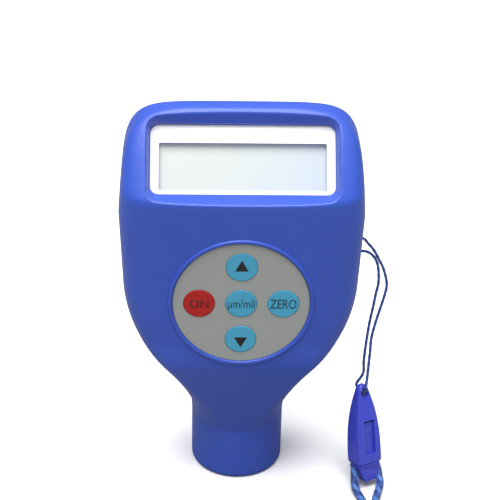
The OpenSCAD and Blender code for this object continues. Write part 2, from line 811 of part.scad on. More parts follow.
module probe_bobbin()
    color("#d8d2c0") difference() {
        union() {
            disc(sleeve_r - sleeve_wall - fit / 2, bobbin_z, bobbin_z + bobbin_flange);
            disc(sleeve_r - sleeve_wall - fit / 2, bobbin_top - bobbin_flange, bobbin_top);
            disc(core_d / 2 + 0.7, bobbin_z, bobbin_top);
        }
        disc(core_d / 2 + fit / 2, bobbin_z - past, bobbin_top + past);
    }

module probe_winding()
    color("#b5672c") difference() {
        disc(winding_r, bobbin_z + bobbin_flange, bobbin_top - bobbin_flange);
        disc(core_d / 2 + 0.7 + fit / 2, 0, bobbin_top);
    }

// Soft iron core; its lower end is a hard dome just inside the sleeve's face
module probe_core()
    color("#8d9196") rotate_extrude() intersection() {
        union() {
            translate([0, probe_sink + core_d / 2]) circle(core_d / 2);
            translate([0, probe_sink + core_d / 2]) square([core_d / 2, bobbin_top - core_d / 2]);
        }
        square([core_d, bobbin_top + core_d]);
    }

module probe_spring()
    color(steel) helix(spring_mean, spring_mean, spring_low, seat_z, spring_turns, spring_wire, 12);

module spring_seat()
    color("#2a2a2c") difference() {
        disc(bore_r + flange_out - fit, seat_z, seat_z + seat_t - fit / 2);
        disc(lead_d / 2 + fit, seat_z - past, seat_z + seat_t + past);
    }

// Smooth curve through route points, with steps points on each span
function curve_at(p0, p1, p2, p3, t) =
    0.5 * (2 * p1 + (p2 - p0) * t + (2 * p0 - 5 * p1 + 4 * p2 - p3) * t * t
           + (3 * p1 - p0 - 3 * p2 + p3) * t * t * t);
function curve(route, steps) =
    let (last = len(route) - 1)
    concat([for (i = [0:last - 1]) for (j = [0:steps - 1])
        curve_at(route[max(0, i - 1)], route[i], route[i + 1], route[min(last, i + 2)], j / steps)],
        [route[last]]);
function unit(v) = v / norm(v);

// Tube along a route whose direction never runs along the given axis
module tube(route, steps, r, sides, axis) {
    path = curve(route, steps);
    last = len(path) - 1;
    loft([for (i = [0:last])
        let (along = unit(path[min(last, i + 1)] - path[max(0, i - 1)]),
             across = unit(cross(along, axis)))
        wire_ring(path[i], across, cross(along, across), r, sides)]);
}

module probe_lead() {
    route = [[0, 0, seat_z + 0.2], [0, 0, seat_z + seat_t + 1], [0, -2.5, 30],
             [0, lead_out, lead_z - 3], [0, lead_out, lead_z - 1.2], [0, lead_out, lead_z]];
    color("#1c1c1e") tube(route, 3, lead_d / 2, 8, [1, 0, 0]);
}

// Clip route points carried into the part's frame
function spin(u, v, angle) = [u * cos(angle) - v * sin(angle), u * sin(angle) + v * cos(angle)];
function turned(p) =
    let (a = spin(p[0], p[1], clip_turn),
         b = spin(a[1], p[2], -clip_lean),
         c = spin(b[1], a[0], clip_roll))
    clip_foot + [c[1], b[0], c[0]];

module strap_loop() {
    out = eye_t / 2 + loop_d;
    half = eye_t / 2;
    eye_route = [
        [0, -out, eye_z + 1.9], [0, -out, eye_z + 0.9], [0, -half, eye_z], [0, 0, eye_z - 0.3],
        [0, half, eye_z], [0, out, eye_z + 0.9], [0, out, eye_z + 1.9]
    ];
    route = concat(loop_route, [for (p = eye_route) turned(p)], back_route);
    color(case_blue) tube(route, 2, loop_d / 2, loop_sides, [0, 1, 0.3]);
}

// Section of the clip: a soft rectangle of width w and thickness t at height z
function clip_ring(w, t, z) =
    let (e = 5, n = 24)
    [for (i = [0:n - 1])
        let (a = -360 * i / n, r = pow(pow(abs(cos(a)), e) + pow(abs(sin(a)), e), -1 / e))
        [w / 2 * r * cos(a), t / 2 * r * sin(a), z]];

module clip_upper() {
    window_low_z = clip_split + 2.5;
    window_l = 9;
    window_half = tongue_w / 2 - fit;
    tip_w = 3;
    color(clip_blue) clip_frame() difference() {
        loft([
            clip_ring(clip_w - 0.6, clip_t - 0.6, clip_split),
            clip_ring(clip_w, clip_t, clip_split + 0.6),
            clip_ring(clip_w, clip_t, clip_split + 6),
            clip_ring(clip_w - 0.7, clip_t - 0.6, clip_split + 12),
            clip_ring(clip_w - 1.8, clip_t - 1.6, clip_split + 16),
            clip_ring(tip_w + 0.6, eye_t + 0.5, eye_z - 1.4),
            clip_ring(tip_w, eye_t, eye_z),
            clip_ring(tip_w - 0.4, eye_t - 0.3, clip_l - 0.5),
            clip_ring(tip_w - 1.6, eye_t - 1.2, clip_l)
        ]);
        // Socket for the tongue, the window over it, and the eye
        block([-tongue_w / 2 - slide_fit, -tongue_out - slide_fit, clip_split - past],
              [tongue_w / 2 + slide_fit, tongue_in + slide_fit, tongue_top + slide_fit]);
        block([-window_half, -clip_t, window_low_z], [window_half, 0, window_low_z + window_l]);
        translate([0, 0, eye_z]) rotate([90, 0, 0]) cylinder(d = eye_d, h = clip_t, center = true);
    }
}

module clip_lower() {
    color(clip_blue) clip_frame() difference() {
        union() {
            loft([
                clip_ring(block_w - 1.2, clip_t - 2.8, 0),
                clip_ring(block_w - 0.4, clip_t - 1.4, 0.8),
                clip_ring(block_w, clip_t - 0.8, collar_z - skin),
                clip_ring(clip_w - 0.9, clip_t - 0.7, collar_z),
                clip_ring(clip_w - 0.8, clip_t - 0.6, clip_split - fit)
            ]);
            block([-tongue_w / 2, -tongue_out, clip_split - past], [tongue_w / 2, tongue_in, tongue_top]);
        }
        for (s = [-1, 1])
            translate([s * strand_x, 0, 0]) cylinder(d = braid_d + 2 * skin, h = strand_top + skin);
    }
}

// Braid: out of the collar at each side of the clip's block, along the floor and into the coil
module wrist_cord() {
    low = braid_d / 2 + fit / 2;
    left_route = concat([turned([-strand_x, 0, strand_top])], [
        [30.1, -16.2, 2.6], [30.5, -18.6, low + 0.2], [31.4, -21.2, low],
        [32.1, -24.4, low], [32.3, -27.8, low], [32.3, -32.1, low]
    ]);
    right_route = concat([turned([strand_x, 0, strand_top])], [
        [36.4, -12.5, 3.2], [36.8, -15, low + 0.45], [36.2, -18, low], [35.2, -21.4, low],
        [34.7, -25, low], [34.6, -29.5, low], [34.6, -35.2, low]
    ]);
    color("#2f57b4") {
        tube(left_route, 3, braid_d / 2, 8, [1, 0, 0]);
        tube(right_route, 3, braid_d / 2, 8, [1, 0, 0]);
    }
}

// Coil of the rest of the braid, lying flat
module wrist_coil()
    color("#2f57b4") translate([coil_centre[0], coil_centre[1], 0]) rotate_extrude() {
        square([coil_r - coil_h / 2, coil_h]);
        translate([coil_r - coil_h / 2, coil_h / 2]) intersection() {
            circle(coil_h / 2);
            translate([0, -coil_h / 2]) square([coil_h / 2, coil_h]);
        }
    }

front_case();
rear_case();
battery_door();
case_screws();
display_lens();
display_border();
lcd_panel();
lcd_holder();
contact_strips();
display_board();
keypad_overlay();
keypad_spacer();
snap_domes();
keypad_circuit();
keypad_tail();
key_on();
key_zero();
key_units();
key_up();
key_down();
main_board();
processor();
amplifier();
buzzer();
probe_connector();
board_screws();
battery_left();
battery_right();
contact_springs();
contact_plates();
probe_bush();
probe_sleeve();
probe_bobbin();
probe_winding();
probe_core();
probe_spring();
spring_seat();
probe_lead();
strap_loop();
clip_upper();
clip_lower();
wrist_cord();
wrist_coil();
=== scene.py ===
"""Looks of a hand-held coating thickness gauge with a wrist strap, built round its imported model."""

import json
import logging
import math
from dataclasses import dataclass, field
from enum import Enum
from typing import Any, Callable, Iterable, Sequence

import bmesh
import bpy
import numpy as np
from mathutils import Matrix, Vector


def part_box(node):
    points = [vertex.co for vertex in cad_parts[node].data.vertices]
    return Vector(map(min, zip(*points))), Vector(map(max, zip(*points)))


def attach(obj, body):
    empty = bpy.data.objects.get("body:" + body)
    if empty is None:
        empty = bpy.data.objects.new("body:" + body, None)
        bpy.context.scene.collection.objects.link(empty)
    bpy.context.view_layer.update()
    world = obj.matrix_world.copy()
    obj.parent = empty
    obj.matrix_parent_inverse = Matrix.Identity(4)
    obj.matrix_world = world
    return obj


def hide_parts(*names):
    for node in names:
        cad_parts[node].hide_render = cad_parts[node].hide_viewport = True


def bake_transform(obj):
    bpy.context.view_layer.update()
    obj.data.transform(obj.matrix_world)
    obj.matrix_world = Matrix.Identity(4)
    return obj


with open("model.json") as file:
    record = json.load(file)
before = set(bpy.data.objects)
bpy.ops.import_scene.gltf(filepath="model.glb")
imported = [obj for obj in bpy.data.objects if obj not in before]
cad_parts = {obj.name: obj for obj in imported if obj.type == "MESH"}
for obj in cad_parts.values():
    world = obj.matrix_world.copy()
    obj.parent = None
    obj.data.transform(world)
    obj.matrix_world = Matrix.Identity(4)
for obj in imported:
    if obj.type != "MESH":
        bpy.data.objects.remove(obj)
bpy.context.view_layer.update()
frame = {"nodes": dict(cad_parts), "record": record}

LOG = logging.getLogger("gauge")
MM = 0.001
Points = np.ndarray
# Point attribute of the cords that holds painted light and shade: high on the threads' crests, low in the
# hollows
PAINTED_THREAD_SHADE_LAYER = "painted_thread_shade"

# Sockets of a mix node: share, first and second colour, resulting colour, and its two plain values
MIX_SHARE, MIX_FIRST, MIX_SECOND, MIX_RESULT, MIX_LOW, MIX_HIGH = 0, 6, 7, 2, 2, 3
# Range that holds most values of a noise texture
NOISE_LOW, NOISE_HIGH = 0.3, 0.7
# Angles in degrees above which edges stay sharp
CASE_EDGE, CLIP_EDGE, CORD_EDGE = 32.0, 40.0, 60.0
# Sides of small holes, and of screw tubes
HOLE_SIDES, TUBE_SIDES = 32, 48
# Directions that no axis of the part runs along, to start a circle from
SKEW, NEARLY_UP = (0.3, 0.5, 0.81), (0.2, 0.1, 0.97)


class Half(Enum):
    """The two halves of the case; the value is the sign of y on that side of the parting plane."""

    FRONT = -1
    BACK = 1


class Way(Enum):
    """How one solid is combined with another."""

    CUT = "DIFFERENCE"
    JOIN = "UNION"
    KEEP = "INTERSECT"


# Colours and nodes


def linear(hex_colour: str) -> tuple[float, float, float, float]:
    """Red, green, blue and alpha in linear light of an sRGB colour such as "#3659c8"."""
    parts = [int(hex_colour[i:i + 2], 16) / 255 for i in (1, 3, 5)]
    light = [c / 12.92 if c <= 0.04045 else ((c + 0.055) / 1.055) ** 2.4 for c in parts]
    return light[0], light[1], light[2], 1.0


def add_node(tree: bpy.types.NodeTree, kind: str, inputs: dict[Any, Any] | None = None,
             **settings: Any) -> bpy.types.Node:
    """Add a node with its settings and links.

    Args:
        tree: The node tree.
        kind: The node's type name.
        inputs: A socket to link from, or a plain value, for each input by name or index.
        **settings: Attributes of the node.

    Returns:
        The new node.
    """
    node = tree.nodes.new(kind)
    for key, value in settings.items():
        setattr(node, key, value)
    for key, value in (inputs or {}).items():
        if isinstance(value, bpy.types.NodeSocket):
            tree.links.new(value, node.inputs[key])
        else:
            node.inputs[key].default_value = value
    return node


def per_metre(size_mm: float) -> float:
    """Texture scale at which one feature is as large as the given size."""
    return 1 / (size_mm * MM)


@dataclass(frozen=True)
class Finish:
    """A surface with a colour that drifts a little, a fine relief and an uneven gloss.

    Attributes:
        name: Name of the material.
        colour: Main colour as sRGB hex.
        drift: Colour that the main one drifts towards; on a cord's yarn it is the painted shade of the
            hollows.
        roughness: Typical roughness of the material.
        ior: Index of refraction.
        metallic: 1 for bare metal.
        drift_mm: Size of the colour drift.
        grain_mm: Size of the relief's grain.
        relief_mm: Height of the relief.
        uneven: How far the roughness moves to either side.
    """

    name: str
    colour: str
    drift: str
    roughness: float
    ior: float = 1.5
    metallic: float = 0.0
    drift_mm: float = 9.0
    grain_mm: float = 0.3
    relief_mm: float = 0.006
    uneven: float = 0.05

    def material(self) -> bpy.types.Material:
        """Build the material.

        Returns:
            The finished material.
        """
        made = bpy.data.materials.new(self.name)
        made.use_nodes = True
        tree = made.node_tree
        shader = tree.nodes["Principled BSDF"]
        shader.inputs["IOR"].default_value = self.ior
        shader.inputs["Metallic"].default_value = self.metallic
        where = add_node(tree, "ShaderNodeTexCoord").outputs["Object"]
        self.paint(tree, shader, where)
        self.extra(shader)
        return made

    def paint(self, tree: bpy.types.NodeTree, shader: bpy.types.Node,
              where: bpy.types.NodeSocket) -> None:
        """Drive colour, gloss and relief.

        Args:
            tree: The material's node tree.
            shader: The surface shader.
            where: Coordinates in metres.
        """
        cloud = add_node(tree, "ShaderNodeTexNoise",
                         {"Vector": where, "Scale": per_metre(self.drift_mm), "Detail": 2.0})
        grain = add_node(tree, "ShaderNodeTexNoise",
                         {"Vector": where, "Scale": per_metre(self.grain_mm), "Detail": 3.0})
        colour = add_node(tree, "ShaderNodeMix",
                          {MIX_SHARE: cloud.outputs["Fac"], MIX_FIRST: linear(self.colour),
                           MIX_SECOND: linear(self.drift)}, data_type="RGBA")
        gloss = add_node(tree, "ShaderNodeMapRange",
                         {"Value": grain.outputs["Fac"], "From Min": NOISE_LOW, "From Max": NOISE_HIGH,
                          "To Min": self.roughness - self.uneven, "To Max": self.roughness + self.uneven})
        relief = add_node(tree, "ShaderNodeBump",
                          {"Height": grain.outputs["Fac"], "Distance": self.relief_mm * MM, "Strength": 1.0})
        tree.links.new(colour.outputs[MIX_RESULT], shader.inputs["Base Color"])
        tree.links.new(gloss.outputs[0], shader.inputs["Roughness"])
        tree.links.new(relief.outputs[0], shader.inputs["Normal"])

    def extra(self, shader: bpy.types.Node) -> None:
        """Set what only this kind of surface has; a plain one has nothing more."""


@dataclass(frozen=True)
class ClearSheet(Finish):
    """Clear acrylic: nearly all light passes, and the face keeps a soft gloss."""

    cover: float = 0.04

    def extra(self, shader: bpy.types.Node) -> None:
        """Let the layers behind show through."""
        shader.inputs["Alpha"].default_value = self.cover


@dataclass(frozen=True)
class PaleCrystal(Finish):
    """Liquid crystal panel at rest: a grey-green polariser that turns bluish towards its right end.

    Attributes:
        reach_mm: Half of the panel's width, over which the tint changes.
        cloud: How far the tint's edge wanders, as a share of the reach.
        start: Where the tint starts, as a share of the reach.
    """

    reach_mm: float = 20.0
    cloud: float = 0.4
    start: float = -0.3

    def paint(self, tree: bpy.types.NodeTree, shader: bpy.types.Node,
              where: bpy.types.NodeSocket) -> None:
        """Tint the panel from left to right.

        Args:
            tree: The material's node tree.
            shader: The surface shader.
            where: Coordinates in metres.
        """
        reach = self.reach_mm * MM
        across = add_node(tree, "ShaderNodeSeparateXYZ", {"Vector": where})
        cloud = add_node(tree, "ShaderNodeTexNoise",
                         {"Vector": where, "Scale": per_metre(self.drift_mm), "Detail": 1.0})
        soft = add_node(tree, "ShaderNodeMath",
                        {0: cloud.outputs["Fac"], 1: self.cloud * reach}, operation="MULTIPLY")
        shifted = add_node(tree, "ShaderNodeMath", {0: across.outputs["X"], 1: soft.outputs[0]})
        blend = add_node(tree, "ShaderNodeMapRange",
                         {"Value": shifted.outputs[0], "From Min": self.start * reach, "From Max": reach})
        colour = add_node(tree, "ShaderNodeMix",
                          {MIX_SHARE: blend.outputs[0], MIX_FIRST: linear(self.colour),
                           MIX_SECOND: linear(self.drift)}, data_type="RGBA")
        tree.links.new(colour.outputs[MIX_RESULT], shader.inputs["Base Color"])
        shader.inputs["Roughness"].default_value = self.roughness


@dataclass(frozen=True)
class Yarn(Finish):
    """Polyester yarn in a cord, with painted light and shade: the raised threads are painted lighter as a
    highlight, and the hollows between them painted darker as shade.

    Attributes:
        sheen: Strength of the fibre's sheen.
        dark: Value of the painted thread shade up to which a thread keeps its darkest, shaded colour.
        light: Value from which it has its lightest, painted highlight colour.
    """

    sheen: float = 0.3
    dark: float = 0.12
    light: float = 0.55

    def paint(self, tree: bpy.types.NodeTree, shader: bpy.types.Node,
              where: bpy.types.NodeSocket) -> None:
        """Paint light and shade on the threads: lighter on their crests, darker in their hollows, with some
        random fibre variation.

        Args:
            tree: The material's node tree.
            shader: The surface shader.
            where: Coordinates in metres.
        """
        # Painted light and shade of the threads, stored on the cord's points
        height = add_node(tree, "ShaderNodeAttribute", attribute_name=PAINTED_THREAD_SHADE_LAYER)
        fibre = add_node(tree, "ShaderNodeTexNoise",
                         {"Vector": where, "Scale": per_metre(self.grain_mm), "Detail": 2.0})
        mixed = add_node(tree, "ShaderNodeMath",
                         {0: height.outputs["Fac"], 1: fibre.outputs["Fac"]}, operation="MULTIPLY")
        share = add_node(tree, "ShaderNodeMapRange",
                         {"Value": mixed.outputs[0], "From Min": self.dark, "From Max": self.light})
        # The second colour is painted into the hollows as shade, the main colour onto the crests as a
        # highlight
        colour = add_node(tree, "ShaderNodeMix",
                          {MIX_SHARE: share.outputs[0], MIX_FIRST: linear(self.drift),
                           MIX_SECOND: linear(self.colour)}, data_type="RGBA")
        relief = add_node(tree, "ShaderNodeBump",
                          {"Height": fibre.outputs["Fac"], "Distance": self.relief_mm * MM})
        tree.links.new(colour.outputs[MIX_RESULT], shader.inputs["Base Color"])
        tree.links.new(relief.outputs[0], shader.inputs["Normal"])
        shader.inputs["Roughness"].default_value = self.roughness

    def extra(self, shader: bpy.types.Node) -> None:
        """Give the fibres their sheen."""
        shader.inputs["Sheen Weight"].default_value = self.sheen


FINISHES: dict[str, Finish] = {
    # ABS from a spark-eroded tool: an even satin skin. Its grain is drawn coarser than real, so that it shows
    "case_blue": Finish("moulded_abs_blue", "#3659c8", "#3254bf", 0.4, ior=1.53, grain_mm=0.7,
                        relief_mm=0.05),
    # ABS from a polished tool: smoother and more violet than the case, with broad highlights
    "clip_blue": Finish("polished_abs_violet", "#444fce", "#3f49c4", 0.28, ior=1.53, grain_mm=3.0),
    # Acrylic sheet: only a soft gloss over what lies behind it
    "lens": ClearSheet("clear_acrylic", "#ffffff", "#fafcfc", 0.08, ior=1.49, relief_mm=0.0),
    # Print behind the lens: a flat bright white
    "border_white": Finish("white_screen_print", "#ffffff", "#fdfdfb", 0.5, relief_mm=0.0),
    # Polariser over an empty display: pale grey-green, bluish to the right
    "lcd": PaleCrystal("pale_polariser", "#c8cdc6", "#bec9d0", 0.25),
    # White ABS, silicone strips and solder mask: dull white, dull black and glossy green inside the case
    "holder_white": Finish("white_abs", "#f0f0ec", "#eaeae4", 0.5),
    "strip_rubber": Finish("layered_silicone", "#3a3a3c", "#303032", 0.7),
    "board_green": Finish("solder_mask", "#1f6b3a", "#1a6034", 0.35),
    # Polyester film, printed on its back: soft plain colours under a fine matt texture
    "overlay_grey": Finish("matt_polyester_grey", "#a8aba7", "#a4a7a3", 0.55, grain_mm=0.25),
    "key_red": Finish("matt_polyester_red", "#be100a", "#b80e08", 0.55, grain_mm=0.25),
    "key_blue": Finish("matt_polyester_sky", "#4bafd4", "#47a9ce", 0.5, grain_mm=0.25),
    # Screen ink under that film: dark and dull, tinted by the key's own colour
    "ink_black": Finish("ink_black", "#16120f", "#1d1814", 0.55, relief_mm=0.0),
    "ink_on_blue": Finish("ink_on_blue", "#173c4c", "#1d4454", 0.55, relief_mm=0.0),
    "ink_on_red": Finish("ink_on_red", "#4c0a08", "#540c0a", 0.55, relief_mm=0.0),
    # Films of the switch layers: milky, and amber with some gloss
    "spacer_film": Finish("plain_polyester", "#c9c9c4", "#c2c2bc", 0.5),
    "circuit_film": Finish("amber_polyimide", "#b08a3c", "#a68034", 0.35),
    # Chips, plugs and cells: dull black, warm cream, and dark grey with a soft gloss
    "chip_black": Finish("moulded_epoxy", "#242428", "#1e1e22", 0.6),
    "connector_cream": Finish("nylon_cream", "#e8e4d4", "#e2dece", 0.5),
    "cell_grey": Finish("printed_sleeve", "#3c4046", "#34383e", 0.35),
    # Probe parts: slick black, warm off-white, bright copper and dull iron
    "bush_black": Finish("acetal_black", "#29292b", "#232325", 0.35),
    "bobbin_cream": Finish("nylon_natural", "#d8d2c0", "#d0cab8", 0.5),
    "copper": Finish("enamelled_copper", "#b5672c", "#a85d26", 0.3, metallic=1.0),
    "core_iron": Finish("ground_iron", "#8d9196", "#84888d", 0.4, metallic=1.0),
    # Steel wire, plates and screws: cold and bright
    "steel": Finish("plain_steel", "#b9bcc0", "#b0b3b8", 0.3, metallic=1.0),
    # Lead and coil tie: soft black
    "lead_black": Finish("soft_pvc", "#1c1c1e", "#18181a", 0.5),
    # Polyester cords: a round braid and a thin twisted loop. On each, the first colour is a painted highlight
    # on the raised threads and the second painted shade in the hollows between them
    "braid_blue": Yarn("braided_polyester", "#4c82cc", "#0f2a78", 0.6, grain_mm=0.4),
    "loop_blue": Yarn("twisted_polyester", "#3458a8", "#19337a", 0.6, grain_mm=0.3),
}


# Solids in millimetres


@dataclass
class Solid:
    """A closed mesh in millimetres.

    Attributes:
        points: Corner points, one row each.
        faces: Corner numbers of each face.
    """

    points: Points
    faces: list[tuple[int, ...]]

    @classmethod
    def loft(cls, rings: Sequence[Points], closed: bool = False) -> "Solid":
        """Join rings of equally many points.

        Args:
            rings: The rings in order.
            closed: Whether the last ring joins the first, instead of both ends being capped.

        Returns:
            The lofted solid.
        """
        count, last, total = len(rings[0]), len(rings) - 1, len(rings) * len(rings[0])
        ends = [tuple(range(count)), tuple(last * count + i for i in range(count))]
        faces: list[tuple[int, ...]] = [] if closed else ends
        for k in range(last + closed):
            for i in range(count):
                a, b = k * count + i, k * count + (i + 1) % count
                faces.append((a, b, (b + count) % total, (a + count) % total))
        return cls(np.vstack(rings), faces)

    @classmethod
    def box(cls, low: Sequence[float], high: Sequence[float]) -> "Solid":
        """Make a box between its lowest and its highest corner."""
        (x0, y0, z0), (x1, y1, z1) = low, high
        flat = np.array([[x0, y0], [x1, y0], [x1, y1], [x0, y1]], float)
        return cls.loft([np.column_stack([flat, np.full(4, z)]) for z in (z0, z1)])

    @classmethod
    def turned(cls, profile: Sequence[tuple[float, float]], centre: Sequence[float],
               axis: Sequence[float], sides: int = 96, closed: bool = False) -> "Solid":
        """Turn a profile about an axis.

        Args:
            profile: Radius and distance along the axis, from one end to the other.
            centre: A point on the axis, at distance 0.
            axis: Direction of the axis.
            sides: Number of sides.
            closed: Whether the profile runs back to its start, as a ring's does.

        Returns:
            The turned solid.
        """
        along = np.array(axis, float) / np.linalg.norm(axis)
        first = np.cross(along, SKEW)
        first /= np.linalg.norm(first)
        second = np.cross(along, first)
        turn = np.linspace(0, 2 * math.pi, sides, endpoint=False)[:, None]
        circle = np.cos(turn) * first + np.sin(turn) * second
        return cls.loft([np.array(centre, float) + s * along + r * circle for r, s in profile], closed)

    @classmethod
    def merged(cls, solids: Iterable["Solid"]) -> "Solid":
        """Put solids that don't touch each other into one mesh."""
        points: list[Points] = []
        faces: list[tuple[int, ...]] = []
        start = 0
        for solid in solids:
            points.append(solid.points)
            faces += [tuple(i + start for i in face) for face in solid.faces]
            start += len(solid.points)
        return cls(np.vstack(points), faces)

    def thing(self, name: str) -> bpy.types.Object:
        """Make a Blender object, still in millimetres, with its faces turned outwards.

        Args:
            name: Name of the object.

        Returns:
            The object, linked to the scene.
        """
        mesh = bpy.data.meshes.new(name)
        mesh.from_pydata([tuple(p) for p in self.points], [], self.faces)
        work = bmesh.new()
        work.from_mesh(mesh)
        bmesh.ops.recalc_face_normals(work, faces=work.faces)
        work.to_mesh(mesh)
        work.free()
        made = bpy.data.objects.new(name, mesh)
        bpy.context.scene.collection.objects.link(made)
        return made


def combine(body: bpy.types.Object, tool: Solid, way: Way) -> None:
    """Cut a solid out of an object, join it on, or keep what both share.

    Args:
        body: The object that changes.
        tool: The other solid.
        way: What is done.
    """
    other = tool.thing("tool")
    step = body.modifiers.new("step", "BOOLEAN")
    step.solver = "EXACT"
    step.operation = way.value
    step.object = other
    graph = bpy.context.evaluated_depsgraph_get()
    mesh = bpy.data.meshes.new_from_object(body.evaluated_get(graph))
    body.modifiers.clear()
    spares = [body.data, other.data]
    body.data = mesh
    bpy.data.objects.remove(other)
    for spare in spares:
        bpy.data.meshes.remove(spare)


def settle(thing: bpy.types.Object, sharp: float = CASE_EDGE) -> bpy.types.Object:
    """Bring a finished object to metres and smooth its shading between sharp edges.

    Args:
        thing: The object in millimetres.
        sharp: Angle in degrees above which an edge stays sharp.

    Returns:
        The same object.
    """
    thing.data.transform(Matrix.Scale(MM, 4))
    thing.data.polygons.foreach_set("use_smooth", [True] * len(thing.data.polygons))
    thing.data.set_sharp_from_angle(angle=math.radians(sharp))
    return thing


MATERIALS: dict[str, bpy.types.Material] = {}


def dress(thing: bpy.types.Object, slot: str) -> None:
    """Give an object the finish of a material slot.

    Args:
        thing: The object.
        slot: The record's material slot.
    """
    if slot not in MATERIALS:
        MATERIALS[slot] = FINISHES[slot].material()
    thing.data.materials.clear()
    thing.data.materials.append(MATERIALS[slot])


def place(thing: bpy.types.Object, body: str, slot: str, *stands_for: str) -> bpy.types.Object:
    """Dress a new piece, let it ride on its body and log it.

    Args:
        thing: The piece.
        body: The body that it moves with.
        slot: The record's material slot.
        *stands_for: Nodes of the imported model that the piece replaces.

    Returns:
        The piece.
    """
    dress(thing, slot)
    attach(thing, body)
    if stands_for:
        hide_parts(*stands_for)
    LOG.info("%s rides on %s", thing.name, body)
    return thing


# Case


def soft_least(first: Points, second: Points | float, soft: float) -> Points:
    """Lesser of two values, with the change from one to the other rounded off."""
    return (first + second - np.sqrt((first - second) ** 2 + soft ** 2)) / 2


def unit(rows: Points) -> Points:
    """Rows of vectors brought to a length of 1."""
    return rows / np.linalg.norm(rows, axis=1)[:, None]


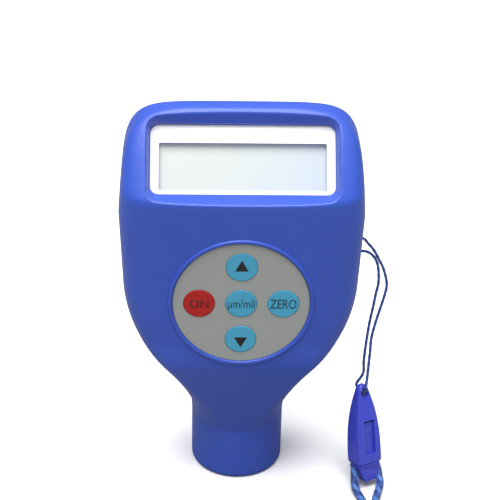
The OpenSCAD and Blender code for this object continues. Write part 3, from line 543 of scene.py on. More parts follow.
@dataclass
class CaseForm:
    """Outer form of both case halves, in millimetres above the measuring rim.

    Attributes:
        front_square: Power of the front's superellipse section; the others named square are alike.
        back_round: Height over which the back rounds off towards the top.
        ramp_low: Foot of the flat tongue, which reaches the keypad face at ramp_z.
        ramp_swell: How far the flanks beside the tongue swell out.
        groove: Depth of the parting line.
        belly_z: Height from which the rings lie evenly, up to fine_z.
        top_share: Share of the width left at the first of the close rings at the top.
        top_span: What the share loses over those rings.
    """

    height: float = 101.2
    width: float = 59.0
    front: float = 17.4
    back: float = 12.7
    wall: float = 2.0
    front_wall: float = 2.4
    neck: float = 23.4
    bore: float = 18.0
    neck_edge: float = 1.2
    flare_z: float = 14.0
    flare_r: float = 34.0
    flare_angle: float = 37.5
    shoulder_r: float = 36.0
    side_angle: float = 2.5
    head_angle: float = 4.2
    face_z: float = 39.0
    front_square: float = 5.9
    back_square: float = 4.5
    head_square: float = 5.2
    back_round: float = 21.0
    back_round_square: float = 2.1
    head: float = 17.3
    tilt: float = 40.0
    widest_drop: float = 6.8
    crease_soft: float = 0.7
    ramp_low: float = 14.9
    ramp_z: float = 37.5
    ramp_top: float = 44.0
    ramp_end: float = 52.0
    ramp_soft: float = 0.8
    ramp_swell: float = 1.4
    cavity_z: float = 25.9
    least_depth: float = 0.8
    back_lead: float = 3.0
    groove: float = 0.16
    groove_w: float = 0.3
    belly_z: float = 40.0
    middle_z: float = 60.0
    fine_z: float = 80.5
    top_share: float = 0.96
    top_span: float = 0.88
    crease_z: float = field(init=False)
    widest_z: float = field(init=False)
    flare_w: float = field(init=False)
    flare_end: float = field(init=False)
    lean_end: float = field(init=False)
    side_z: float = field(init=False)
    side_w: float = field(init=False)

    def __post_init__(self) -> None:
        """Work out the heights at which the outline changes."""
        flare, lean = math.radians(self.flare_angle), math.radians(self.side_angle)
        self.crease_z = self.height - self.head
        self.widest_z = self.crease_z - self.widest_drop
        self.flare_w = self.neck / 2 + self.flare_r * (1 - math.cos(flare))
        self.flare_end = self.flare_z + self.flare_r * math.sin(flare)
        across = self.shoulder_r * (math.cos(lean) - math.cos(flare))
        rise = self.shoulder_r * (math.sin(flare) - math.sin(lean))
        straight = (self.width / 2 - self.flare_w - across
                    - (self.widest_z - self.flare_end - rise) * math.tan(lean))
        straight /= math.sin(flare) - math.cos(flare) * math.tan(lean)
        self.lean_end = self.flare_end + straight * math.cos(flare)
        self.side_z = self.lean_end + rise
        self.side_w = self.flare_w + straight * math.sin(flare) + across

    def ease(self, z: Points, low: float, high: float) -> Points:
        """Smooth step from 0 at one height to 1 at another."""
        t = np.clip((z - low) / (high - low), 0, 1)
        return t * t * (3 - 2 * t)

    def round_off(self, z: Points, start: float, square: float) -> Points:
        """Share of the size that is left as the form closes towards the top."""
        t = np.clip((z - start) / (self.height - start), 0, 1)
        return (1 - t ** square) ** (1 / square)

    def inset(self, z: Points) -> Points:
        """How far the rounded end of the neck stands back."""
        e = self.neck_edge
        return np.where(z < e, e - np.sqrt(np.maximum(e * e - (e - z) ** 2, 0)), 0.0)

    def half_width(self, z: Points) -> Points:
        """Half width in the parting plane.

        Args:
            z: Heights.

        Returns:
            One half width for each height.
        """
        z = np.asarray(z, float)
        flare, lean = math.radians(self.flare_angle), math.radians(self.side_angle)
        neck = self.neck / 2
        hollow = neck + self.flare_r - np.sqrt(np.maximum(self.flare_r ** 2 - (z - self.flare_z) ** 2, 0))
        drop = self.side_z + self.shoulder_r * math.sin(lean) - z
        shoulder = (self.side_w - self.shoulder_r * math.cos(lean)
                    + np.sqrt(np.maximum(self.shoulder_r ** 2 - drop ** 2, 0)))
        head = self.width / 2 - (z - self.widest_z) * math.tan(math.radians(self.head_angle))
        return np.select(
            [z < self.flare_z, z < self.flare_end, z < self.lean_end, z < self.side_z, z < self.widest_z],
            [neck - self.inset(z), hollow, self.flare_w + (z - self.flare_end) * math.tan(flare),
             shoulder, self.side_w + (z - self.side_z) * math.tan(lean)],
            head * self.round_off(z, self.widest_z, self.head_square))

    def depth(self, half: Half, z: Points) -> Points:
        """Depth of one half from the parting plane.

        Args:
            half: Which half.
            z: Heights.

        Returns:
            One depth for each height.
        """
        z = np.asarray(z, float)
        neck = self.neck / 2
        if half is Half.FRONT:
            share = np.clip((z - self.ramp_low) / (self.ramp_z - self.ramp_low), 0, 1)
            swell = np.sin(math.pi * np.clip((z - self.ramp_low) / (self.ramp_top - self.ramp_low), 0, 1))
            body = neck + (self.front - neck) * share + self.ramp_swell * swell
            slope = self.front - (z - self.crease_z) * math.tan(math.radians(self.tilt))
            face = soft_least(body, slope, self.crease_soft) - self.inset(z)
            return face * self.round_off(z, self.crease_z, self.head_square)
        body = neck + (self.back - neck) * self.ease(z, self.flare_z, self.face_z - self.back_lead)
        start = self.height - self.back_round
        return (body - self.inset(z)) * self.round_off(z, start, self.back_round_square)

    def square(self, half: Half, z: Points) -> Points:
        """Squareness of the section, from round at the neck to nearly flat."""
        z = np.asarray(z, float)
        if half is Half.FRONT:
            return 2 + (self.front_square - 2) * self.ease(z, self.ramp_low, self.ramp_top)
        return 2 + (self.back_square - 2) * self.ease(z, self.flare_z, self.face_z)

    def section(self, half: Half, z: float, angles: Points, inner: bool = False) -> Points:
        """Half a section from one side of the parting plane to the other.

        Args:
            half: Which half.
            z: Height.
            angles: Angles over the half section.
            inner: Whether it is the section of the cavity.

        Returns:
            The section's points.
        """
        side, up, thin = half.value, z, 0.0
        top = self.height - 2 * self.wall
        width, depth = float(self.half_width(z)), float(self.depth(half, z))
        if inner:
            thin = self.front_wall if half is Half.FRONT else self.wall
            up = z + self.wall * float(self.ease(np.asarray(z), self.widest_z, top))
            width = float(self.half_width(up)) - self.wall
            depth = max(self.least_depth, float(self.depth(half, up)) - thin)
        e = float(self.square(half, z))
        r = (np.abs(np.cos(angles)) ** e + np.abs(np.sin(angles)) ** e) ** (-1 / e)
        x, y = width * r * np.cos(angles), depth * r * np.sin(angles)
        if not inner:
            x -= np.sign(x) * self.groove * np.clip(1 - y / self.groove_w, 0, 1)
        return np.column_stack([-side * x, side * y, np.full(len(angles), z)])

    def columns(self, half: Half, spacing: float) -> Points:
        """Angles that divide the section at mid height evenly, with a few more at the parting line.

        Args:
            half: Which half.
            spacing: Distance between columns.

        Returns:
            The angles.
        """
        fine = np.linspace(0, math.pi, 4001)
        line = self.section(half, self.middle_z, fine, inner=True)
        length = np.concatenate([[0], np.cumsum(np.linalg.norm(np.diff(line, axis=0), axis=1))])
        even = np.interp(np.linspace(0, length[-1], int(length[-1] / spacing) + 1), length, fine)
        edge = np.array([0.5, 1.0]) * self.groove_w / self.front
        clear = 1.5 * edge[-1]
        inside = even[(even > clear) & (even < math.pi - clear)]
        return np.concatenate([[0], edge, inside, math.pi - edge[::-1], [math.pi]])

    def levels(self, step: float) -> Points:
        """Heights of the rings from the rim up: close at the neck's edge, the crease and the top."""
        shares = self.top_share - self.top_span * np.linspace(0, 1, 26) ** 1.4
        closed = (1 - shares ** self.head_square) ** (1 / self.head_square)
        top = self.widest_z + (self.height - self.widest_z) * closed
        edge = self.neck_edge * (1 - np.cos(np.linspace(0, math.pi / 2, 9)))
        return np.concatenate([
            edge, np.arange(edge[-1] + step, self.flare_z, step),
            np.arange(self.flare_z, self.belly_z, 0.8 * step), np.arange(self.belly_z, self.fine_z, step),
            np.arange(self.fine_z, top[0] - 0.2, 0.45 * step), top])

    def body(self, half: Half, spacing: float, name: str) -> bpy.types.Object:
        """Make one half as a full solid, in millimetres, with quads of about the given spacing."""
        angles = self.columns(half, spacing)
        rings = [self.section(half, z, angles) for z in self.levels(2 * spacing)]
        return Solid.loft(rings).thing(name)

    def cavity(self, half: Half) -> Solid:
        """Inside of one half, carried a little past the parting plane."""
        angles = np.linspace(0, math.pi, 33)
        rings = []
        for z in np.linspace(self.cavity_z, self.height - 2 * self.wall, 40):
            ring = self.section(half, z, angles, inner=True)
            ends = ring[[0, -1]] + np.array([0, -half.value, 0])
            rings.append(np.vstack([ends[:1], ring, ends[1:]]))
        return Solid.loft(rings)

    def tongue(self) -> Solid:
        """Wedge that planes a flat tongue from the keypad face down into the front of the neck."""
        neck, far = self.neck / 2, -2 * self.front
        z = np.linspace(self.ramp_low, self.ramp_end, 40)
        plane = neck + (self.front - neck) * (z - self.ramp_low) / (self.ramp_z - self.ramp_low)
        flat = soft_least(plane, self.front, self.ramp_soft)
        side = [*zip(-flat, z), (far, self.ramp_end), (far, self.ramp_low)]
        half = self.width / 2 + 1
        return Solid.loft([np.array([(x, y, z) for y, z in side]) for x in (-half, half)])

    def neck_bore(self) -> Solid:
        """Bore that carries the probe."""
        r = self.bore / 2
        return Solid.turned([(r, -1), (r, self.cavity_z + 1)], (0, 0, 0), (0, 0, 1))

    def surface_back(self, x: float, z: float) -> float:
        """Depth of the back at a distance from the middle."""
        e = float(self.square(Half.BACK, z))
        share = min(1.0, abs(x) / float(self.half_width(z)))
        return float(self.depth(Half.BACK, z)) * (1 - share ** e) ** (1 / e)


@dataclass
class DisplayRecess:
    """Sloping recess of the display, with a soft rim that follows the case's surface.

    Its own frame has u to the right, v up the sloping face and n out of it.

    Attributes:
        corner_n: Samples of the outline on each corner.
        long_n: Samples on each long side.
        short_n: Samples on each short side.
        halvings: Steps of each search for the surface.
    """

    form: CaseForm
    pane_w: float = 43.8
    pane_h: float = 17.0
    pane_r: float = 2.2
    pane_depth: float = 3.0
    pane_up: float = 3.0
    lens_t: float = 1.0
    lens_edge: float = 0.2
    lens_gap: float = 0.03
    play: float = 0.1
    slope_side: float = 0.85
    slope_top: float = 1.7
    slope_low: float = 2.8
    window_w: float = 39.6
    window_h: float = 11.4
    window_low: float = 1.2
    window_r: float = 0.4
    seat_n: float = -4.3
    ledge_n: float = -5.5
    lap: float = 0.4
    tub_rim: float = 1.6
    tub_top_n: float = -1.5
    bow_top: float = 0.9
    bow_low: float = 0.8
    soft: float = 0.45
    soft_steps: tuple[float, ...] = (0.0, 0.2, 0.4, 0.6, 0.8)
    corner_n: int = 9
    long_n: int = 40
    short_n: int = 16
    halvings: int = 40
    samples: int = field(init=False)

    def __post_init__(self) -> None:
        """Count the outline's samples."""
        self.samples = 4 * self.corner_n + 2 * self.long_n + 2 * self.short_n

    def lay(self, u: Points, v: Points, n: Points) -> Points:
        """Carry points from the display's frame into the part's."""
        tilt = math.radians(self.form.tilt)
        u, v, n = np.broadcast_arrays(np.asarray(u, float), v, n)
        return np.column_stack([u, -self.form.front + v * math.sin(tilt) - n * math.cos(tilt),
                                self.form.crease_z + v * math.cos(tilt) + n * math.sin(tilt)])

    def outline(self, k: Points, width: float, low: float, high: float,
                radius: Points) -> tuple[Points, Points]:
        """Rounded rectangle whose samples each may have an own size.

        Args:
            k: Share of the slope at each sample.
            width: Width where the share is 0.
            low: Lower edge where the share is 0.
            high: Upper edge where the share is 0.
            radius: Corner radius at each sample.

        Returns:
            Distances to the right and up the face.
        """
        arc, one, right = np.radians(np.linspace(90, 0, self.corner_n)), np.ones(self.corner_n), math.pi / 2
        long, flat = np.linspace(-1, 1, self.long_n + 2)[1:-1], np.ones(self.long_n)
        short, steep = np.linspace(1, 0, self.short_n + 2)[1:-1], np.ones(self.short_n)
        ex = np.concatenate([-one, long, one, steep, one, -long, -one, -steep])
        ey = np.concatenate([one, flat, one, short, 0 * one, 0 * flat, 0 * one, short[::-1]])
        ring = np.concatenate([arc + right, right * flat, arc, 0 * steep,
                               arc - right, -right * flat, arc - math.pi, math.pi * steep])
        half = width / 2 + self.slope_side * k
        bow = k * (1 - ex ** 2)
        floor = low - self.slope_low * k + radius - self.bow_low * bow
        roof = high + self.slope_top * k - radius + self.bow_top * bow
        return (ex * (half - radius) + radius * np.cos(ring),
                floor + ey * (roof - floor) + radius * np.sin(ring))

    def wall(self, k: Points | float) -> Points:
        """Points of the recess's wall in the display's frame.

        Args:
            k: Share of the slope, 0 at the pane and 1 in the plane of the display face.

        Returns:
            One row for each sample of the outline.
        """
        k = np.broadcast_to(np.asarray(k, float), (self.samples,))
        u, v = self.outline(k, self.pane_w + 2 * self.play, self.pane_up - self.play,
                            self.pane_up + self.pane_h + self.play, self.pane_r * (1 + k / 2))
        return np.column_stack([u, v, self.pane_depth * (k - 1)])

    def search(self, low: float, high: float, count: int, past: Callable[[Points], Points]) -> Points:
        """Halve an interval until it closes on the place where a test turns true.

        Args:
            low: Where the test is false.
            high: Where it is true.
            count: Number of places to find at once.
            past: The test.

        Returns:
            The last values at which the test is false.
        """
        under, over = np.full(count, low), np.full(count, high)
        for _ in range(self.halvings):
            mid = (under + over) / 2
            beyond = past(mid)
            over, under = np.where(beyond, mid, over), np.where(beyond, under, mid)
        return under

    def skin(self, u: Points, v: Points) -> Points:
        """Distance of the case's surface out of the display's plane.

        Args:
            u: Distances to the right.
            v: Distances up the face.

        Returns:
            One distance for each point.
        """
        def outside(n: Points) -> Points:
            """Whether the points at these distances lie outside the case."""
            x, y, z = self.lay(u, v, n).T
            below = np.minimum(z, self.form.height - 0.01)
            e = self.form.square(Half.FRONT, z)
            wide = np.maximum(self.form.half_width(below), 0.1)
            deep = np.maximum(self.form.depth(Half.FRONT, below), 0.1)
            out = (np.abs(x) / wide) ** e + (np.maximum(-y, 0) / deep) ** e > 1
            return out | (z > self.form.height) | (y > 0)

        return self.search(-9.0, 4.0, len(u), outside)

    def funnel(self) -> Solid:
        """Solid that cuts the recess: its walls, and a rim that rolls over into the surface.

        Returns:
            The solid to cut out.
        """
        def above(k: Points) -> Points:
            """Whether the wall at these shares has come out of the case."""
            u, v, n = self.wall(k).T
            return n > self.skin(u, v)

        rim = self.search(0.1, 2.5, self.samples, above)
        edge = self.wall(rim)
        down = unit(self.wall(rim - 0.05) - edge)
        beyond = edge[:, :2] - 0.4 * unit(down[:, :2])
        out = unit(np.column_stack([beyond, self.skin(*beyond.T)]) - edge)
        first, last = edge + self.soft * down, edge + self.soft * out
        rings = [self.wall(rim * share) for share in (0.0, 0.35)]
        rings += [(1 - t) ** 2 * first + 2 * t * (1 - t) * edge + t * t * last for t in self.soft_steps]
        # Two more rings carry the cutter clear of the case
        rings.append(rings[-1] + 3.2 * unit(0.8 * out - 0.2 * down))
        rings.append(rings[-1] + np.array([0, 0, 8.0]))
        return Solid.loft([self.lay(*ring.T) for ring in rings])

    def slab(self, width: float, low: float, high: float, radius: float,
             *levels: tuple[float, float]) -> Solid:
        """Rounded slab in the display's frame.

        Args:
            width: Width of the slab.
            low: Lower edge.
            high: Upper edge.
            radius: Corner radius.
            *levels: Distance out of the face, and how far the slab stands back there, for each ring.

        Returns:
            The slab.
        """
        rings = []
        for n, back in levels:
            u, v = self.outline(np.zeros(self.samples), width - 2 * back, low + back, high - back,
                                np.full(self.samples, radius - back))
            rings.append(self.lay(u, v, np.full(self.samples, n)))
        return Solid.loft(rings)

    def tub(self) -> Solid:
        """Tub behind the face that carries the lens."""
        rim = self.tub_rim
        return self.slab(self.pane_w + 2 * rim, self.pane_up - rim, self.pane_up + self.pane_h + rim,
                         self.pane_r + rim, (self.ledge_n, 0), (self.tub_top_n, 0))

    def seat(self) -> Solid:
        """Seat of the lens."""
        return self.slab(self.pane_w, self.pane_up, self.pane_up + self.pane_h, self.pane_r,
                         (self.seat_n, 0), (self.lap - self.pane_depth, 0))

    def lens(self) -> Solid:
        """Clear lens with softly broken edges, a hair clear of the print behind it."""
        top, edge, play = -self.pane_depth, self.lens_edge, self.play
        return self.slab(self.pane_w, self.pane_up, self.pane_up + self.pane_h, self.pane_r,
                         (top - self.lens_t + self.lens_gap, play), (top - edge, play),
                         (top - 0.3 * edge, play + 0.3 * edge), (top, play + edge))

    def window(self) -> Solid:
        """Opening in the ledge over the liquid crystal panel."""
        low, play = self.pane_up + self.window_low, self.play
        return self.slab(self.window_w + 2 * play, low - play, low + self.window_h + play, self.window_r,
                         (self.ledge_n - 1, 0), (self.seat_n + self.lap, 0))


@dataclass
class FrontCase:
    """Front half of the case: display recess, keypad recess with its bead, and half of the neck."""

    form: CaseForm
    recess: DisplayRecess
    keypad_z: float = 56.9
    recess_r: float = 16.5
    recess_deep: float = 4.0
    recess_sides: int = 128
    floor_y: float = -15.55
    bead_w: float = 1.1
    bead_rise: float = 0.45
    bead_foot: float = 1.0
    bead_gap: float = 0.02
    bead_sides: int = 144
    spacing: float = 0.45

    def build(self) -> None:
        """Make the shell, the bead round the keypad and the lens."""
        shell = self.form.body(Half.FRONT, self.spacing, "front_shell")
        combine(shell, self.form.tongue(), Way.CUT)
        combine(shell, self.form.cavity(Half.FRONT), Way.CUT)
        combine(shell, self.recess.tub(), Way.JOIN)
        for tool in (self.recess.funnel(), self.recess.seat(), self.recess.window()):
            combine(shell, tool, Way.CUT)
        keypad = Solid.turned([(self.recess_r, 0), (self.recess_r, self.recess_deep)],
                              (0, self.floor_y, self.keypad_z), (0, -1, 0), self.recess_sides)
        combine(shell, Solid.merged([keypad, self.form.neck_bore()]), Way.CUT)
        place(settle(shell), "gauge", "case_blue", "front_case")
        place(settle(self.bead().thing("keypad_bead")), "gauge", "case_blue")
        place(settle(self.recess.lens().thing("lens_pane")), "gauge", "lens", "display_lens")

    def bead(self) -> Solid:
        """Raised round bead of the keypad's edge, as a closed ring."""
        r = self.bead_w / 2
        top = self.form.front + self.bead_rise - r
        turn = np.radians(np.linspace(180, 0, 13))
        profile = [(self.recess_r + r + r * math.cos(a), top + r * math.sin(a)) for a in turn]
        profile += [(self.recess_r + 2 * r, top - self.bead_foot),
                    (self.recess_r + self.bead_gap, top - self.bead_foot)]
        return Solid.turned(profile, (0, 0, self.keypad_z), (0, -1, 0), self.bead_sides, closed=True)


@dataclass
class RearCase:
    """Rear half of the case with its battery bay, and the door that slides off it."""

    form: CaseForm
    spacing: float = 0.6
    bay_half: float = 11.025
    bay_wall: float = 1.2
    bay_z: float = 33.0
    bay_top: float = 82.5
    bay_floor: float = -0.1
    bay_lap: float = 0.3
    door_in: float = 11.0
    door_gap: float = 0.05
    door_half: float = 13.225
    door_z: float = 31.65
    door_top: float = 86.2
    slide: float = 0.15
    tab_w: float = 18.0
    tab_l: float = 2.0
    tab_t: float = 0.8
    screw_inset: float = 5.9
    screw_z: tuple[float, float] = (44.0, 75.0)
    screw_head: float = 4.6
    screw_play: float = 0.1
    screw_seat: float = 3.0
    tube_wall: float = 0.8
    tube_sink: float = 0.4
    eyelet_d: float = 2.4
    eyelet_y: float = 3.0
    eyelet_z: tuple[float, float] = (63.5, 59.8)
    eyelet_reach: float = 4.0
    grip_w: float = 14.0
    grip_r: float = 0.45
    grip_drop: float = 12.0
    grip_pitch: float = 2.2
    grip_count: int = 5
    grip_sides: int = 24

    def build(self) -> None:
        """Make the rear shell and the battery door."""
        self.build_shell()
        self.build_door()

    def build_shell(self) -> None:
        """Make the shell: battery bay, door opening, screw tubes and strap eyelets."""
        form, wall, high = self.form, self.bay_wall, self.form.back + 1
        shell = form.body(Half.BACK, self.spacing, "rear_shell")
        combine(shell, form.cavity(Half.BACK), Way.CUT)
        bay = Solid.box((-self.bay_half - wall, self.bay_floor - wall, self.bay_z - wall),
                        (self.bay_half + wall, self.door_in + self.bay_lap, self.bay_top + wall))
        screws = [(side * (float(form.half_width(z)) - self.screw_inset), z)
                  for z in self.screw_z for side in (-1, 1)]
        outer, inner = self.screw_head / 2 + self.tube_wall, self.screw_head / 2 + self.screw_play
        tubes = [self.post(x, z, outer, 0, form.surface_back(abs(x) + outer, z) - self.tube_sink)
                 for x, z in screws]
        combine(shell, Solid.merged([bay, *tubes]), Way.JOIN)
        combine(shell, Solid.box((-self.bay_half, self.bay_floor, self.bay_z),
                                 (self.bay_half, high, self.bay_top)), Way.CUT)
        combine(shell, Solid.box((-self.door_half, self.door_in, self.door_z),
                                 (self.door_half, high, form.height)), Way.CUT)
        tab, slide = self.tab_w / 2, self.slide
        slot = Solid.box((-tab - slide, self.door_in, self.door_z - self.tab_l - slide),
                         (tab + slide, self.door_in + self.tab_t + slide, self.door_z + 1))
        sinks = [self.post(x, z, inner, self.screw_seat, high) for x, z in screws]
        across = [(self.eyelet_d / 2, -self.eyelet_reach), (self.eyelet_d / 2, self.eyelet_reach)]
        eyes = [Solid.turned(across, (float(form.half_width(z)), self.eyelet_y, z), (1, 0, 0), HOLE_SIDES)
                for z in self.eyelet_z]
        combine(shell, Solid.merged([slot, *sinks, *eyes, form.neck_bore()]), Way.CUT)
        place(settle(shell), "gauge", "case_blue", "rear_case")

    def build_door(self) -> None:
        """Make the door: a piece of the back's own surface, with a tab and thumb grips."""
        door = self.form.body(Half.BACK, self.spacing, "door_shell")
        inside = self.door_in + self.door_gap
        combine(door, Solid.box((-self.door_half + self.slide, inside, self.door_z + self.slide),
                                (self.door_half - self.slide, self.form.back + 1, self.door_top)), Way.KEEP)
        tab = Solid.box((-self.tab_w / 2, inside, self.door_z - self.tab_l),
                        (self.tab_w / 2, self.door_in + self.tab_t, self.door_z + 1))
        combine(door, Solid.merged([tab, *self.grips()]), Way.JOIN)
        place(settle(door), "door", "case_blue", "battery_door")

    def post(self, x: float, z: float, radius: float, low: float, high: float) -> Solid:
        """Round post along y at a place on the back."""
        return Solid.turned([(radius, low), (radius, high)], (x, 0, z), (0, 1, 0), TUBE_SIDES)

    def grips(self) -> list[Solid]:
        """Ridges for the thumb, rounded at both ends."""
        r, half = self.grip_r, self.grip_w / 2
        profile = [(r * math.sin(a), -half - r * math.cos(a)) for a in np.radians((20, 45, 70, 90))]
        profile += [(q, -s) for q, s in reversed(profile)]
        first = self.door_top - self.grip_drop
        return [Solid.turned(profile, (0, self.form.back - r / 2, first + i * self.grip_pitch), (1, 0, 0),
                             self.grip_sides) for i in range(self.grip_count)]


# Keypad legends


@dataclass
class Legends:
    """Printed legends on the keys: words, and two arrows.

    Attributes:
        bolder: How far the letters' outline is moved out, as a share of the font's size.
        capital: Height of the font's capitals, as a share of its size.
        middle: Height of the middle of a word with a tail, as a share of the font's size.
        weld: Distance within which the letters' points are joined.
    """

    keypad_z: float = 56.9
    pitch: float = 10.1
    face_y: float = -17.51
    ink_t: float = 0.01
    bolder: float = 0.004
    capital: float = 0.73
    middle: float = 0.33
    weld: float = 0.002

    def build(self) -> None:
        """Print every key."""
        self.word("ON", "on", at=(-self.pitch, 0), size=(4.5, 2.35), ink="ink_on_red")
        self.word("µm/mil", "units", at=(0, 0), size=(6.4, 2.4), ink="ink_on_blue")
        self.word("ZERO", "zero", at=(self.pitch, 0), size=(6.3, 2.6), ink="ink_on_blue")
        self.arrow("up", at=(0, self.pitch + 0.45), size=(3.2, 3.0), way=1)
        self.arrow("down", at=(0, -self.pitch - 0.9), size=(3.2, 2.9), way=-1)

    def word(self, text: str, key: str, at: tuple[float, float], size: tuple[float, float],
             ink: str) -> None:
        """Print a word.

        Args:
            text: The word.
            key: The key that carries it.
            at: Its middle, measured from the keypad's centre.
            size: Width of the word and height of its capitals.
            ink: The ink's finish.
        """
        line = bpy.data.curves.new("line", "FONT")
        line.body = text
        line.resolution_u = 4
        line.offset = self.bolder
        source = bpy.data.objects.new("line", line)
        bpy.context.scene.collection.objects.link(source)
        graph = bpy.context.evaluated_depsgraph_get()
        mesh = bpy.data.meshes.new_from_object(source.evaluated_get(graph))
        bpy.data.objects.remove(source)
        flat = np.array([v.co[:2] for v in mesh.vertices])
        low, high = flat.min(0), flat.max(0)
        middle = (low + high) / 2
        scale = np.array(size) / (high - low)
        if "m" in text:
            # A word with a tail or small letters is sized by the font's capitals
            scale[1] *= (high - low)[1] / self.capital
            middle[1] = self.middle
        for vertex, (x, y) in zip(mesh.vertices, (flat - middle) * scale):
            vertex.co = (x + at[0], self.face_y, y + at[1] + self.keypad_z)
        self.print(mesh, key, ink)

    def arrow(self, key: str, at: tuple[float, float], size: tuple[float, float], way: int) -> None:
        """Print an arrow.

        Args:
            key: The key that carries it.
            at: Its middle, measured from the keypad's centre.
            size: Width of its base, and its height.
            way: 1 for up, -1 for down.
        """
        tip = way * size[1] / 2
        corners = [(-size[0] / 2, -tip), (size[0] / 2, -tip), (0, tip)]
        mesh = bpy.data.meshes.new("arrow")
        mesh.from_pydata([(x + at[0], self.face_y, y + at[1] + self.keypad_z) for x, y in corners],
                         [], [(0, 1, 2)])
        self.print(mesh, key, "ink_black")

    def print(self, mesh: bpy.types.Mesh, key: str, ink: str) -> None:
        """Give a flat print its thickness and its ink.

        Args:
            mesh: The flat print, in millimetres.
            key: The key that carries it.
            ink: The ink's finish.
        """
        work = bmesh.new()
        work.from_mesh(mesh)
        bmesh.ops.remove_doubles(work, verts=work.verts, dist=self.weld)
        grown = bmesh.ops.extrude_face_region(work, geom=work.faces[:])
        lifted = [v for v in grown["geom"] if isinstance(v, bmesh.types.BMVert)]
        bmesh.ops.translate(work, verts=lifted, vec=(0, -self.ink_t, 0))
        bmesh.ops.recalc_face_normals(work, faces=work.faces)
        work.to_mesh(mesh)
        work.free()
        mesh.transform(Matrix.Scale(MM, 4))
        made = bpy.data.objects.new(f"legend_{key}", mesh)
        bpy.context.scene.collection.objects.link(made)
        dress(made, ink)
        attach(made, f"{key}_button")
        LOG.info("%s rides on %s_button", made.name, key)


# Cords


def smooth_path(route: Sequence[Sequence[float]], steps: int) -> Points:
    """Smooth curve through route points.

    Args:
        route: The points to pass through.
        steps: Points on each span.

    Returns:
        The curve's points.
    """
    p = np.array(route, float)
    last = len(p) - 1
    out = []
    for i in range(last):
        p0, p1, p2, p3 = p[max(0, i - 1)], p[i], p[i + 1], p[min(last, i + 2)]
        for t in np.arange(steps) / steps:
            out.append(0.5 * (2 * p1 + (p2 - p0) * t + (2 * p0 - 5 * p1 + 4 * p2 - p3) * t * t
                              + (3 * p1 - p0 - 3 * p2 + p3) * t ** 3))
    return np.array(out + [p[last]])


def even_path(path: Points, spacing: float) -> Points:
    """Points at equal distances along a curve, as near to the given spacing as its length allows."""
    run = np.concatenate([[0], np.cumsum(np.linalg.norm(np.diff(path, axis=0), axis=1))])
    at = np.linspace(0, run[-1], max(2, int(run[-1] / spacing)) + 1)
    return np.column_stack([np.interp(at, run, path[:, i]) for i in range(3)])


def path_length(path: Points) -> float:
    """Length of a curve."""
    return float(np.linalg.norm(np.diff(path, axis=0), axis=1).sum())


def swept_cord(name: str, path: Points, sides: int,
               radius: Callable[[Points, Points], tuple[Points, Points]],
               spacing: float) -> bpy.types.Object:
    """Sweep a round cord along a path, with its threads as relief.

    Args:
        name: Name of the piece.
        path: Centreline in millimetres, at equal distances.
        sides: Points round the cord.
        radius: Radius, and the painted light and shade of the threads, at a run and an angle.
        spacing: Distance between the path's points.

    Returns:
        The cord, in metres, with its threads' painted light and shade.
    """
    along = np.gradient(path, axis=0)
    along /= np.linalg.norm(along, axis=1)[:, None]
    across = np.cross(along[0], NEARLY_UP)
    rings, heights = [], []
    angle = np.linspace(0, 2 * math.pi, sides, endpoint=False)
    for i, centre in enumerate(path):
        across = across - along[i] * np.dot(across, along[i])
        across /= np.linalg.norm(across)
        other = np.cross(along[i], across)
        r, h = radius(np.full(sides, i * spacing), angle)
        circle = np.cos(angle)[:, None] * across + np.sin(angle)[:, None] * other
        rings.append(centre + r[:, None] * circle)
        heights.append(h)
    thing = Solid.loft(rings).thing(name)
    # Store the threads' painted light and shade for the cord's material
    layer = thing.data.attributes.new(PAINTED_THREAD_SHADE_LAYER, "FLOAT", "POINT")
    layer.data.foreach_set("value", np.concatenate(heights).astype(np.float32))
    return settle(thing, CORD_EDGE)


@dataclass
class ProbeSpring:
    """Spring behind the probe's sleeve, wound at rest; pressing the sleeve in shortens the real one."""

    turns: float = 5.0
    end_turn: float = 0.9
    wire: float = 0.8
    sides: int = 14
    spacing: float = 0.5
    steps: int = 400

    def wire_size(self, run: Points, angle: Points) -> tuple[Points, Points]:
        """Radius of the wire, and no painted thread shade."""
        return np.full(len(angle), self.wire / 2), np.zeros(len(angle))

    def build(self) -> None:
        """Wind the spring between the sleeve's stop and its seat."""
        low, high = (np.array(corner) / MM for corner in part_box("probe_spring"))
        radius, rise = (high[0] - low[0] - self.wire) / 2, high[2] - low[2] - self.wire
        turn = np.linspace(0, self.turns, self.steps)
        z = np.interp(turn, (0, self.end_turn, self.turns - self.end_turn, self.turns),
                      (0, self.wire, rise - self.wire, rise)) + low[2] + self.wire / 2
        angle = 2 * math.pi * turn
        path = np.column_stack([radius * np.cos(angle), radius * np.sin(angle), z])
        spring = swept_cord("spring_coil", even_path(path, self.spacing), self.sides, self.wire_size,
                            self.spacing)
        dress(spring, "steel")
        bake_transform(spring)
        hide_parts("probe_spring")
        LOG.info("spring_coil has %.0f turns", self.turns)


